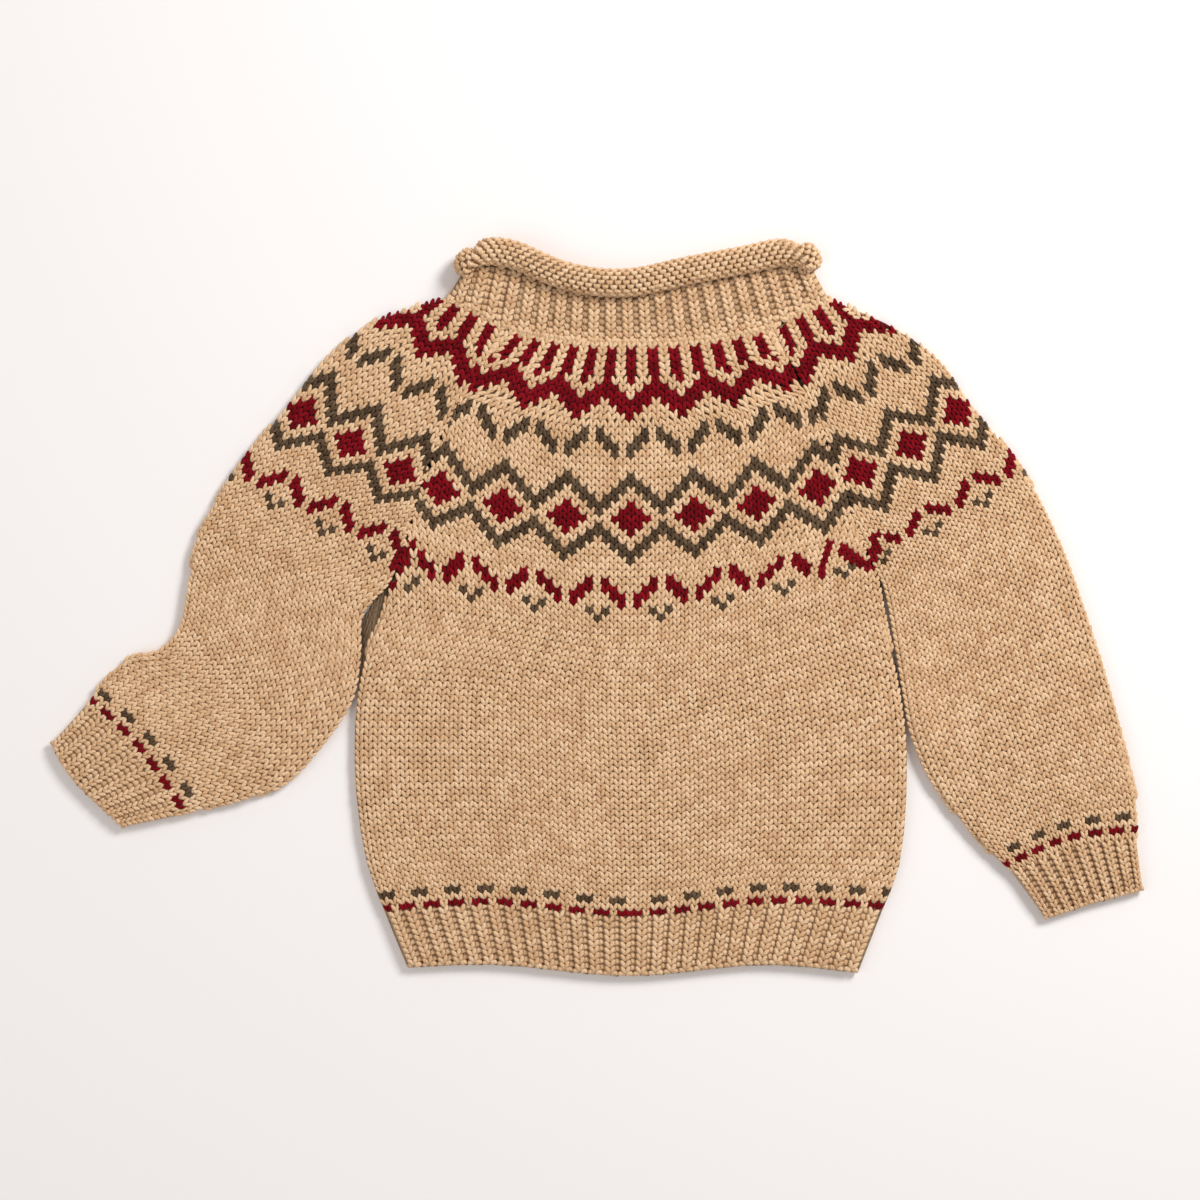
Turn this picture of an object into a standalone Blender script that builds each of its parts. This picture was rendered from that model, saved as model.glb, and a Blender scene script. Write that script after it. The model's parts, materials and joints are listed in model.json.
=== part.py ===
"""A small child's hand-knitted raglan jumper with a patterned yoke, laid flat on its back.

Five knitted pieces: front, back, two sleeves and a neckband that ends in a rolled edge. Each
is one closed wall. The front and the upper halves of the sleeves lie on the back and the lower
halves, and the side, underarm and raglan seams are 0.3 mm gaps. +X is the viewer's right, +Y
runs from hem to neck and +Z up from the surface. Sizes below are in millimetres.
"""

import math
from collections import namedtuple

import bmesh
import bpy

MM = 0.001

# The knitted cloth and the way it lies.
WALL = 2.8
SEAM_GAP = 0.3
TOP_HEIGHT = 6.5  # of the upper layer's face where no fold lifts it
LEAST_HEIGHT = 6.0  # where a trough presses the layers together
MOST_HEIGHT = 9.3
EDGE_MIDDLE = 2.95  # the height of the side seams and of the sleeves' folds
EDGE_RADIUS = 4.5
SEAM_DIP, SEAM_WIDTH = 0.6, 2.5
END_DIP = 0.7  # softens the cast-on edges of hem and cuffs
EDGE_STEPS = (0.0, 0.4, 1.5, 3.0, EDGE_RADIUS)
INNER_STEPS = (0.0, 0.5, EDGE_RADIUS - WALL)

# One-by-one ribs.
HEM_RIBS = 30
LEFT_CUFF_RIBS, RIGHT_CUFF_RIBS = 9, 10
NECK_RIBS = 22
RIB_DEPTH = 1.4
RIB_PROFILE = (-0.5, 0.35, 0.5, 0.35)

# Columns of points along a row where there are no ribs.
BODY_COLUMNS = 26
SLEEVE_COLUMNS = 12
INSIDE_COLUMNS = 12
UNDERSIDE_COLUMNS = 12
NECK_COLUMNS = 34
TURN_STEPS = 4

# The neckband rises from the neckline to the rolled edge, which lies on it.
NECKLINE_MIDDLE, ROLL_MIDDLE = 3.25, 6.05
NECKLINE_SLACK, ROLL_SLACK = 0.45, 0.15
NECKLINE_GAP = 0.4
BAND_STEPS = (0.0, 0.28, 0.64, 1.0)
ROLL_STEPS = 8
ROLL_REACH = 7.6  # half the rolled edge's breadth
ROLL_FRONT, ROLL_SIDE, ROLL_BACK = 6.0, 4.3, 2.95  # half its height, facing up, out and down
ROLL_TURN_FRONT, ROLL_TURN_SIDE, ROLL_TURN_BACK = 290.0, 250.0, 215.0
ROLL_TIGHTENS = 0.2

# Rounds of the yoke, from the underarms to the neckline. The rows of every piece end on the
# same seam points. `strips` counts the strips of faces below the round.
Round = namedtuple(
    "Round",
    "left_fold left_middle left_seam left_quarter middle right_quarter right_seam"
    " right_middle right_fold strips",
)
YOKE = {
    "underarm": Round(
        (-226, 52), (-172.5, 27), (-120, 13.5), (-53.5, -9), (18, -19.5), (88.5, -7.5),
        (163.5, 15), (209, 29.5), (260, 55), 2,
    ),
    "wings": Round(
        (-215.5, 71), (-165.5, 45), (-116, 20.5), (-50.5, 1.5), (18, -8.5), (87.5, 2.5),
        (160, 22.5), (199, 43.5), (250.5, 73.5), 1,
    ),
    "lower zigzag": Round(
        (-199.5, 93), (-152, 69), (-108.5, 44.5), (-46.5, 27.5), (18, 20.5), (83, 29),
        (152, 42), (190, 63.5), (235.5, 94.5), 2,
    ),
    "diamonds": Round(
        (-179, 116.5), (-140, 92.5), (-101, 71), (-42, 55.5), (18, 50.5), (80, 57),
        (141.5, 73), (178.5, 91.5), (214.5, 118), 2,
    ),
    "broken band": Round(
        (-157.5, 143.5), (-122, 118.5), (-89.5, 99), (-37.5, 84), (18, 79.5), (74, 85.5),
        (130.5, 100), (159.5, 118), (196.5, 145), 2,
    ),
    "upper zigzag": Round(
        (-129.5, 165), (-103, 146), (-75, 127), (-30.5, 113.5), (18, 109.5), (66.5, 114.5),
        (117.5, 129), (141, 146.5), (167, 165), 2,
    ),
    "neckline": Round(
        (-88, 179), (-70.5, 171), (-52, 160.5), (-18.5, 154), (18, 152.5), (58.5, 154),
        (99, 160.5), (117, 170.5), (134.5, 178.5), 3,
    ),
}
# The line under the rolled edge, from fold to fold, one point for each of the neckline's.
ROLL_LINE = (
    (-74, 194.5), (-67.5, 203.5), (-49.5, 203), (-16.5, 190), (17, 186.5), (52.5, 193.5),
    (84, 199.5), (108, 204), (122, 199),
)

BODY_COLUMN_NAMES = ("left_seam", "left_quarter", "middle", "right_quarter", "right_seam")

# Rows of the body below the underarms, from the hem up.
BodyRow = namedtuple("BodyRow", "left left_quarter middle right_quarter right strips")
BODY = {
    "hem": BodyRow((-109.5, -208.5), (-56.5, -207), (18, -213.5), (94.5, -207), (150.5, -211.5), 1),
    "rib top": BodyRow((-122, -178), (-59.5, -174), (18, -181), (97.5, -173.5), (164, -177), 3),
    "lower body": BodyRow((-133, -148), (-61, -148), (18, -156), (99, -148), (174.5, -149), 2),
    "body": BodyRow((-139, -109), (-62, -113.5), (18, -120), (99, -113.5), (178.5, -109), 2),
    "waist": BodyRow((-139.8, -68.5), (-61, -79.5), (18, -86.5), (99, -79.5), (178, -68.5), 2),
    "chest": BodyRow((-135.8, -32), (-57.5, -46), (18, -55.5), (96.5, -45), (172, -32), 2),
    "below arm": BodyRow((-125.5, -6), (-55.5, -27.5), (18, -37.5), (94.5, -25.5), (166.8, -5), 2),
}
# The back reaches further out than the front below the left underarm, where it shows.
BACK = {**BODY, "below arm": BODY["below arm"]._replace(left=(-134.3, -5.5))}

# Rows of the sleeves below the underarms, from the cuff up.
SleeveRow = namedtuple("SleeveRow", "seam middle fold strips")
LEFT_SLEEVE = {
    "cuff": SleeveRow((-274.5, -128), (-304, -99.5), (-316.5, -78.5), 1),
    "rib top": SleeveRow((-245, -122), (-270.5, -85), (-297.5, -57.5), 2),
    "trim": SleeveRow((-226.5, -117), (-253, -76), (-282.5, -39), 1),
    "pinch": SleeveRow((-202, -111.5), (-236, -67), (-270.5, -29), 1),
    "forearm": SleeveRow((-179.5, -102.5), (-215.5, -57.5), (-256, -25.5), 1),
    "elbow": SleeveRow((-159.5, -82), (-198.5, -42.5), (-242.5, -12.5), 2),
    "upper arm": SleeveRow((-141.5, -55), (-188.5, -22), (-237.5, 9.5), 2),
    "below arm": SleeveRow((-137, -30), (-182.5, 1), (-234.5, 31), 2),
    "gusset": SleeveRow((-135.5, -5), (-177.5, 15.5), (-230.5, 43.5), 1),
}
RIGHT_SLEEVE = {
    "cuff": SleeveRow((259, -181), (286, -172), (316.5, -164), 1),
    "rib top": SleeveRow((240, -154.5), (275.5, -140), (313, -135.5), 2),
    "trim": SleeveRow((222.5, -138), (266.5, -121), (312.5, -114), 1),
    "pinch": SleeveRow((207.5, -121), (257.5, -103.5), (308.5, -93.5), 1),
    "forearm": SleeveRow((192, -100.5), (248, -84.5), (303, -70.5), 1),
    "elbow": SleeveRow((181, -74.5), (238, -61.5), (296, -44.5), 2),
    "upper arm": SleeveRow((176.3, -49.5), (229.5, -35.5), (287.5, -17), 2),
    "below arm": SleeveRow((171.8, -22), (223.5, -9), (278, 11), 2),
    "gusset": SleeveRow((168, -2), (216, 11), (269.5, 34), 1),
}

# Folds of the upper layer: a soft ridge, or a trough where `rise` is negative, between two
# places, and broad swells where air is caught under the cloth.
Fold = namedtuple("Fold", "start end half_width rise")
FOLDS = {
    "wrist pinch": Fold((-270, -33), (-241, -54), 6.5, -1.5),
    "forearm trough": Fold((-241, -54), (-203, -94.5), 8.0, -1.1),
    "forearm ridge": Fold((-249, -35.5), (-214, -68.5), 8.0, 0.9),
    "elbow trough": Fold((-177, -5.5), (-163.5, -52), 8.5, -1.1),
    "right armpit tuck": Fold((167.5, -3), (184.5, -20.5), 3.5, -1.2),
    "right armpit second tuck": Fold((172.5, -19.5), (183.5, -35.5), 3.5, -1.0),
    "right sleeve upper trough": Fold((189.5, 16.5), (201, -13), 6.5, -1.0),
    "right sleeve lower trough": Fold((201, -13), (195.5, -50), 6.5, -1.0),
    "body left upper trough": Fold((-101.5, -84.5), (-72.5, -116), 10.5, -1.2),
    "body left lower trough": Fold((-72.5, -116), (-60, -148), 10.5, -1.1),
    "body middle trough": Fold((-12.5, -52.5), (-1.5, -116), 10.5, -0.8),
    "body right trough": Fold((97.5, -84.5), (78, -148), 11.5, -1.1),
    "right sleeve seam ridge": Fold((189.5, -65), (236, -143.5), 4.0, 0.9),
}
Swell = namedtuple("Swell", "centre radius rise")
SWELLS = {
    "middle of the body": Swell((25, -75), 75, 1.2),
    "left of the body": Swell((-90, -40), 45, 0.9),
    "right of the body": Swell((130, -50), 45, 0.9),
    "chest": Swell((20, 60), 90, 0.7),
    "left upper arm": Swell((-195, 35), 45, 1.3),
    "left forearm": Swell((-225, -75), 35, 1.0),
    "right upper arm": Swell((235, 30), 45, 1.2),
    "right forearm": Swell((262, -80), 35, 1.2),
}

CREAM = (0.74, 0.56, 0.37, 1.0)
YARN_ROUGHNESS = 0.9
SHARP_ANGLE = math.radians(50)


def blend(a, b, t):
    """The point a share t of the way from a to b."""
    return tuple(p + (q - p) * t for p, q in zip(a, b))


def smooth_point(points, at):
    """A point of the smooth curve through the points, `at` counting from the first."""
    k = min(int(at), len(points) - 2)
    t = at - k
    before, a, b, after = (
        points[min(max(i, 0), len(points) - 1)] for i in (k - 1, k, k + 1, k + 2)
    )
    return tuple(
        q + 0.5 * t * (r - p + t * (2 * p - 5 * q + 4 * r - s + t * (3 * (q - r) + s - p)))
        for p, q, r, s in zip(before, a, b, after)
    )


class RowCurve:
    """A row of knitting in plan: a smooth curve through points, measured along its length."""

    PIECES = 12

    def __init__(self, points, before=None, after=None):
        """`before` and `after` are the next points of the same round, on the neighbouring
        pieces."""
        count = (len(points) - 1) * self.PIECES
        chain = [before or points[0], *points, after or points[-1]]
        self.line = [smooth_point(chain, 1 + k / self.PIECES) for k in range(count + 1)]
        self.marks = [0.0]
        for a, b in zip(self.line, self.line[1:]):
            self.marks.append(self.marks[-1] + math.dist(a, b))
        self.length = self.marks[-1]

    def at(self, distance):
        """The point this far along the row. Beyond its ends it runs straight on."""
        k = 0
        while k < len(self.line) - 2 and self.marks[k + 1] < distance:
            k += 1
        step = self.marks[k + 1] - self.marks[k]
        return blend(self.line[k], self.line[k + 1], (distance - self.marks[k]) / step)


def row_curves(rows, yoke_columns, neighbours):
    """(curve, place) for each row that a piece is built from: its own rows, then its columns
    of the yoke's rounds. A place is the row's number, with a fraction between two rows.
    `neighbours` names the yoke's columns before and after its own."""
    rounds = list(YOKE.values())
    table = [row[:-1] for row in rows] + [[getattr(r, name) for name in yoke_columns] for r in rounds]
    strips = [row.strips for row in rows] + [r.strips for r in rounds]
    columns = list(zip(*table))
    beyond = [[getattr(r, name) for r in rounds] if name else None for name in neighbours]
    found = []
    for k, count in enumerate(strips):
        for step in range(1, count + 1):
            place = k - 1 + step / count
            ends = [
                smooth_point(column, place - len(rows)) if column and place >= len(rows) else None
                for column in beyond
            ]
            found.append((RowCurve([smooth_point(c, place) for c in columns], *ends), place))
    return found


def along_fold(x, y, fold):
    """How far (x, y) is from a fold's line, in half widths, and 1 within its ends falling to 0
    past them."""
    (ax, ay), (bx, by) = fold.start, fold.end
    dx, dy = bx - ax, by - ay
    length = math.hypot(dx, dy)
    along = ((x - ax) * dx + (y - ay) * dy) / length
    across = ((x - ax) * dy - (y - ay) * dx) / length
    past = max(0.0, -along, along - length)
    return across / fold.half_width, math.exp(-((past / (1.5 * fold.half_width)) ** 2))


def top_height(x, y):
    """The height of the upper layer's face over a place on the surface."""
    height = TOP_HEIGHT
    for swell in SWELLS.values():
        far = math.dist((x, y), swell.centre) / swell.radius
        height += swell.rise * math.exp(-(far**2))
    for fold in FOLDS.values():
        across, within = along_fold(x, y, fold)
        height += fold.rise * within * math.exp(-(across**2))
    return min(max(height, LEAST_HEIGHT), MOST_HEIGHT)


def rounded(distance, radius):
    """The share of its full height that a rounded edge has at a distance from it."""
    return math.sqrt(max(0.0, 1 - (1 - min(max(distance, 0.0) / radius, 1.0)) ** 2))


def top_drop(full, distance, roundness):
    """How far an edge pulls the upper layer's face down: a rounded side edge at a roundness
    of 1, a shallow seam groove at 0."""
    side = (full - EDGE_MIDDLE - SEAM_GAP / 2) * (1 - rounded(distance, EDGE_RADIUS))
    groove = SEAM_DIP * (1 - min(distance / SEAM_WIDTH, 1.0)) ** 2
    return roundness * side + (1 - roundness) * groove


def top_outer(curve, distance, roundness, lift):
    """A point of the upper layer's face. `roundness` is that of the row's two ends."""
    x, y = curve.at(distance)
    full = top_height(x, y) + lift
    drop = top_drop(full, distance, roundness[0])
    drop += top_drop(full, curve.length - distance, roundness[1])
    return x, y, full - drop


def top_inner(curve, distance, roundness, lift):
    """A point of the upper layer's hidden side."""
    x, y = curve.at(distance)
    full = top_height(x, y) + min(lift, 0.0) - WALL
    drop = 0.0
    for from_end, edge in ((distance, roundness[0]), (curve.length - distance, roundness[1])):
        share = 1 - rounded(from_end - edge * WALL, EDGE_RADIUS - WALL)
        drop += edge * (full - EDGE_MIDDLE - SEAM_GAP / 2) * share
    return x, y, full - drop


def under_outer(curve, distance, roundness):
    """A point of the face that rests on the surface, turned up at rounded edges."""
    x, y = curve.at(distance)
    rise = 0.0
    for from_end, edge in ((distance, roundness[0]), (curve.length - distance, roundness[1])):
        rise += edge * (EDGE_MIDDLE - SEAM_GAP / 2) * (1 - rounded(from_end, EDGE_RADIUS))
    return x, y, rise


def under_inner(curve, distance):
    """A point of the lower layer's hidden side."""
    x, y = curve.at(distance)
    return x, y, WALL


def spaced(start, end, count):
    """Even distances from start to end, both included."""
    return [start + (end - start) * k / count for k in range(count + 1)]


def outer_distances(length, columns, ribs):
    """[(distance, rib lift)] along a row: close together at its rounded ends, and four to a
    rib in ribbing."""
    first = [(step, 0.0) for step in EDGE_STEPS]
    last = [(length - step, 0.0) for step in reversed(EDGE_STEPS)]
    if not ribs:
        middle = spaced(EDGE_RADIUS, length - EDGE_RADIUS, columns)[1:-1]
        return first + [(distance, 0.0) for distance in middle] + last
    quarter = length / ribs / len(RIB_PROFILE)
    middle = [
        (k * quarter, RIB_DEPTH * RIB_PROFILE[k % len(RIB_PROFILE)])
        for k in range(ribs * len(RIB_PROFILE))
        if EDGE_RADIUS + 0.5 < k * quarter < length - EDGE_RADIUS - 0.5
    ]
    return first + middle + last


def inner_distances(length, columns, roundness):
    """Distances along a row on its hidden side, which starts a wall further in at a rounded
    end."""
    start, end = roundness[0] * WALL, roundness[1] * WALL
    first = [start + step for step in INNER_STEPS]
    last = [length - end - step for step in reversed(INNER_STEPS)]
    return first + spaced(first[-1], last[0], columns)[1:-1] + last


class Skin:
    """Points in rows on a wall's two sides, joined by faces into one closed body."""

    def __init__(self):
        self.mesh = bmesh.new()

    def row(self, points):
        """Adds a row of [(mark, (x, y, z))]. Marks grow along it."""
        return [(mark, self.mesh.verts.new([c * MM for c in point])) for mark, point in points]

    def strip(self, lower, upper):
        """Faces between two rows that may differ in their number of points."""
        i = j = 0
        while i < len(lower) - 1 or j < len(upper) - 1:
            next_lower = lower[i + 1][0] if i < len(lower) - 1 else math.inf
            next_upper = upper[j + 1][0] if j < len(upper) - 1 else math.inf
            corners = [lower[i][1]]
            if next_lower <= next_upper + 1e-6:
                i += 1
                corners.append(lower[i][1])
            if next_upper <= next_lower + 1e-6:
                j += 1
                corners.append(upper[j][1])
                corners.append(upper[j - 1][1])
            else:
                corners.append(upper[j][1])
            self.mesh.faces.new(corners)

    def cover(self, outer, inner, closed):
        """Strips over both sides, and the rims that join them: at the first and last rows,
        and along the ends of the rows unless they are closed rings."""
        if closed:
            for rows in (outer, inner):
                for row in rows:
                    row.append((math.inf, row[0][1]))
        for rows in (outer, inner):
            for lower, upper in zip(rows, rows[1:]):
                self.strip(lower, upper)
        for end in (0, -1):
            self.strip(outer[end], inner[end])
        if not closed:
            for end in (0, -1):
                ends = [[(k, row[end][1]) for k, row in enumerate(rows)] for rows in (outer, inner)]
                self.strip(*ends)

    def finish(self, name):
        """The closed body as an object of its own, in knitted cotton."""
        bmesh.ops.recalc_face_normals(self.mesh, faces=self.mesh.faces)
        data = bpy.data.meshes.new(name)
        self.mesh.to_mesh(data)
        self.mesh.free()
        data.shade_smooth()
        data.set_sharp_from_angle(angle=SHARP_ANGLE)
        data.materials.append(knitted_cotton(name))
        piece = bpy.data.objects.new(name, data)
        bpy.context.collection.objects.link(piece)
        return piece


def knitted_cotton(name):
    """Matt cream cotton yarn."""
    material = bpy.data.materials.new(f"{name} cotton")
    material.use_nodes = True
    shader = material.node_tree.nodes["Principled BSDF"]
    shader.inputs["Base Color"].default_value = CREAM
    shader.inputs["Roughness"].default_value = YARN_ROUGHNESS
    shader.inputs["Metallic"].default_value = 0.0
    return material


def edge_roundness(place, seam_place):
    """1 below the underarm, where the edge is a side, to 0 above it, where it is a raglan
    seam."""
    return min(max(seam_place - place + 0.5, 0.0), 1.0)


def end_lift(place, last):
    """Lowers the face at a cast-on edge and, less, along the neckline."""
    if place == 0:
        return -END_DIP
    return -SEAM_DIP / 2 if place == last else 0.0


def body_panel(name, upper):
    """The front, which lies on top, or the back, which lies on the surface."""
    skin = Skin()
    rows = list((BODY if upper else BACK).values())
    outer, inner = [], []
    for curve, place in row_curves(rows, BODY_COLUMN_NAMES, ("left_middle", "right_middle")):
        edge = edge_roundness(place, len(BODY))
        both = (edge, edge)
        ribs = HEM_RIBS if upper and place <= 1 else 0
        columns = BODY_COLUMNS if upper else UNDERSIDE_COLUMNS
        dip = end_lift(place, len(BODY) + len(YOKE) - 1)
        inset = SEAM_GAP / 2 * (1 - edge)
        outer_row, inner_row = [], []
        for distance, rib in outer_distances(curve.length, columns, ribs):
            if upper:
                point = top_outer(curve, distance, both, rib + dip)
            else:
                point = under_outer(curve, distance, both)
            outer_row.append((distance / curve.length, inward(curve, point, distance, inset)))
        for distance in inner_distances(curve.length, INSIDE_COLUMNS, both):
            if upper:
                point = top_inner(curve, distance, both, dip)
            else:
                point = under_inner(curve, distance)
            inner_row.append((distance / curve.length, inward(curve, point, distance, inset)))
        outer.append(skin.row(outer_row))
        inner.append(skin.row(inner_row))
    skin.cover(outer, inner, closed=False)
    return skin.finish(name)


def inward(curve, point, distance, inset):
    """The point moved along its row, away from the nearer end, by an inset that fades out
    towards the row's middle."""
    share = 1 - 2 * distance / curve.length
    ahead, behind = curve.at(distance + 1), curve.at(distance - 1)
    run = math.dist(ahead, behind)
    shift = inset * share / run
    return (
        point[0] + shift * (ahead[0] - behind[0]),
        point[1] + shift * (ahead[1] - behind[1]),
        point[2],
    )


def sleeve(name, rows, side, cuff_ribs):
    """A sleeve folded flat along its top: the cloth runs from the seam across the upper
    layer, round the fold and back under to the seam."""
    skin = Skin()
    columns = (f"{side}_seam", f"{side}_middle", f"{side}_fold")
    outer, inner = [], []
    for curve, place in row_curves(list(rows.values()), columns, (f"{side}_quarter", None)):
        both = (edge_roundness(place, len(rows)), 1.0)
        length = curve.length
        ribs = cuff_ribs if place <= 1 else 0
        dip = end_lift(place, len(rows) + len(YOKE) - 1)
        inset = SEAM_GAP / 2 * (1 - both[0])
        outer_row, inner_row = [], []
        for distance, rib in outer_distances(length, SLEEVE_COLUMNS, ribs)[:-1]:
            point = top_outer(curve, distance, both, rib + dip)
            outer_row.append((distance / length, inward(curve, point, distance, inset)))
        fold = curve.at(length)
        outer_row.append((1.0, (fold[0], fold[1], EDGE_MIDDLE)))
        for distance, _ in reversed(outer_distances(length, UNDERSIDE_COLUMNS // 2, 0)[:-1]):
            point = under_outer(curve, distance, both)
            outer_row.append((2 - distance / length, inward(curve, point, distance, inset)))
        for distance in inner_distances(length, INSIDE_COLUMNS // 2, both)[:-1]:
            point = top_inner(curve, distance, both, dip)
            inner_row.append((distance / length, inward(curve, point, distance, inset)))
        fold = curve.at(length - WALL)
        inner_row.append((1.0, (fold[0], fold[1], EDGE_MIDDLE)))
        for distance in reversed(inner_distances(length, INSIDE_COLUMNS // 2, both)[:-1]):
            point = under_inner(curve, distance)
            inner_row.append((2 - distance / length, inward(curve, point, distance, inset)))
        outer.append(skin.row(outer_row))
        inner.append(skin.row(inner_row))
    skin.cover(outer, inner, closed=False)
    return skin.finish(name)


def neck_stations(ribs):
    """[(share along the row, lean, rib lift)] once round the flattened neckband: across the
    front, round the right fold, back along the underside and round the left fold. A lean of
    90 degrees faces up, 0 outwards at a fold and -90 down."""
    stations = []
    if ribs:
        quarters = ribs * len(RIB_PROFILE)
        for k in range(quarters + 1):
            stations.append((k / quarters, 90.0, RIB_DEPTH * RIB_PROFILE[k % len(RIB_PROFILE)]))
    else:
        stations += [(share, 90.0, 0.0) for share in spaced(0.0, 1.0, NECK_COLUMNS)]
    turn = spaced(90.0, -90.0, TURN_STEPS)[1:-1]
    stations += [(1.0, lean, 0.0) for lean in turn]
    stations += [(share, -90.0, 0.0) for share in spaced(1.0, 0.0, NECK_COLUMNS // 2)]
    stations += [(0.0, lean, 0.0) for lean in reversed(turn)]
    return stations


def by_lean(lean, front, side, back):
    """A value that changes from front through side to back as the neckband turns over."""
    share = math.sin(math.radians(lean))
    return side + share * (front - side) if share > 0 else side - share * (back - side)


def neck_frame(neckline, roll_line, rise, share, lean):
    """(seat, facing, up, slack) of a station: its place in the middle of the flattened band,
    the way its cloth faces, the way up the neck, and half the space between the layers."""
    slack = NECKLINE_SLACK + (ROLL_SLACK - NECKLINE_SLACK) * rise
    seats = []
    for curve in (neckline, roll_line):
        margin = WALL + slack
        seats.append(curve.at(margin + share * (curve.length - 2 * margin)))
    up = blend(seats[0], seats[1], 1.0 / math.dist(*seats))
    up = (up[0] - seats[0][0], up[1] - seats[0][1], 0.0)
    plan = blend(seats[0], seats[1], rise)
    gap = NECKLINE_GAP * (1 - rise)
    middle = NECKLINE_MIDDLE + (ROLL_MIDDLE - NECKLINE_MIDDLE) * rise
    seat = (plan[0] + gap * up[0], plan[1] + gap * up[1], middle)
    side = 1.0 if share > 0.5 else -1.0
    level = math.cos(math.radians(lean)) * side
    facing = (level * up[1], -level * up[0], math.sin(math.radians(lean)))
    return seat, facing, up, slack


def offset(seat, facing, up, out, along):
    """The point `out` from the seat the way the cloth faces and `along` up the neck."""
    return tuple(s + out * f + along * u for s, f, u in zip(seat, facing, up))


def neckband(name):
    """The ribbed neckband, flattened, and the plain edge above it, which rolls outwards: up
    and over on the front, and under on the back."""
    skin = Skin()
    neckline = RowCurve(YOKE["neckline"][:-1])
    roll_line = RowCurve(ROLL_LINE)
    outer, inner = [], []
    for rise in BAND_STEPS:
        ribs = NECK_RIBS if 0 < rise else 0
        outer_row, inner_row = [], []
        for mark, (share, lean, rib) in enumerate(neck_stations(ribs)):
            seat, facing, up, slack = neck_frame(neckline, roll_line, rise, share, lean)
            point = offset(seat, facing, up, slack + WALL + rib, 0.0)
            outer_row.append((station_mark(share, lean, mark), point))
        for mark, (share, lean, _) in enumerate(neck_stations(0)):
            seat, facing, up, slack = neck_frame(neckline, roll_line, rise, share, lean)
            inner_row.append((station_mark(share, lean, mark), offset(seat, facing, up, slack, 0.0)))
        outer.append(skin.row(outer_row))
        inner.append(skin.row(inner_row))
    for turn in spaced(0.0, 1.0, ROLL_STEPS)[1:]:
        rows = ([], [])
        for mark, (share, lean, _) in enumerate(neck_stations(0)):
            seat, facing, up, slack = neck_frame(neckline, roll_line, 1.0, share, lean)
            height = by_lean(lean, ROLL_FRONT, ROLL_SIDE, ROLL_BACK)
            angle = turn * by_lean(lean, ROLL_TURN_FRONT, ROLL_TURN_SIDE, ROLL_TURN_BACK)
            tight = 1 - ROLL_TIGHTENS * max(0.0, angle - 180.0) / 110.0
            for row, wall in zip(rows, (WALL, 0.0)):
                out = slack + height - math.cos(math.radians(angle)) * (height - wall) * (
                    tight if lean > 0 else 1.0
                )
                along = math.sin(math.radians(angle)) * (ROLL_REACH - wall) * tight
                row.append((station_mark(share, lean, mark), offset(seat, facing, up, out, along)))
        outer.append(skin.row(rows[0]))
        inner.append(skin.row(rows[1]))
    skin.cover(outer, inner, closed=True)
    return skin.finish(name)


def station_mark(share, lean, index):
    """A mark that grows once round the neckband, whatever the number of stations."""
    if lean == 90.0:
        return share
    if lean == -90.0:
        return 3.0 - share
    turned = (90.0 - lean) / 180.0
    return 1.0 + turned if share > 0.5 else 4.0 - turned


def clear_scene():
    """Removes what a new scene holds."""
    for thing in list(bpy.data.objects):
        bpy.data.objects.remove(thing, do_unlink=True)


def main():
    """Builds the jumper."""
    clear_scene()
    body_panel("back", upper=False)
    body_panel("front", upper=True)
    sleeve("sleeve_left", LEFT_SLEEVE, "left", LEFT_CUFF_RIBS)
    sleeve("sleeve_right", RIGHT_SLEEVE, "right", RIGHT_CUFF_RIBS)
    neckband("neckband")


main()
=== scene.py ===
"""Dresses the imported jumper: five hand-knitted pieces of matt cotton, laid flat on a pale surface.

Each piece is a thin closed cloth on its solid's form. On its face lie the stitches, each a pair
of plump legs of yarn, placed course by course along the knitting, and the stranded yoke pattern
is worked stitch by stitch from a chart. Sizes are in millimetres unless a name says otherwise.
+X is the viewer's right, +Y runs from hem to neck and +Z up from the surface. Courses are
numbered from the middle of the yoke's diamonds, growing towards the cast-on edges.
"""

import json
import logging
import math
from dataclasses import dataclass, field, replace
from enum import Enum
from typing import Any, Callable, Iterable

import bmesh
import bpy
from mathutils import Matrix, Vector
from mathutils.bvhtree import BVHTree
from mathutils.kdtree import KDTree

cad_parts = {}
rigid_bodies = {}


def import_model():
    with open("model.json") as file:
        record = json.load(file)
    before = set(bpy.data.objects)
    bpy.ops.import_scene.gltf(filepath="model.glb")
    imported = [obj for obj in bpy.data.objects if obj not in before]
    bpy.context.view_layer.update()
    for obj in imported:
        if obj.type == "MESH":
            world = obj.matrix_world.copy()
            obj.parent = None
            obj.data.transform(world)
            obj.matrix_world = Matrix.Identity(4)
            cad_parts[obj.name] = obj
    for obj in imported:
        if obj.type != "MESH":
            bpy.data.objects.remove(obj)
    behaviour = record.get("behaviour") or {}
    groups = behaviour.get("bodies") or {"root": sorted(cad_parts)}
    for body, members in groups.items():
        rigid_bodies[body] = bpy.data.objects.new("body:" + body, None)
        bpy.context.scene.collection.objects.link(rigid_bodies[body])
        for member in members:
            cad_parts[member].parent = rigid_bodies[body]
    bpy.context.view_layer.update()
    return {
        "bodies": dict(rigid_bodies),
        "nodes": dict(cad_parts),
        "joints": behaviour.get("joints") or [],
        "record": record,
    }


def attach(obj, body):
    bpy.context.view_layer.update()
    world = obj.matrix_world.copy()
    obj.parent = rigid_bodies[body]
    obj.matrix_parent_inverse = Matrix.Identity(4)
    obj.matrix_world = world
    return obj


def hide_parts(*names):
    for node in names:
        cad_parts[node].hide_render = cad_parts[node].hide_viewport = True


log = logging.getLogger("jumper")

MM = 0.001
MATH = "ShaderNodeMath"
Plan = tuple[float, float]


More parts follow.
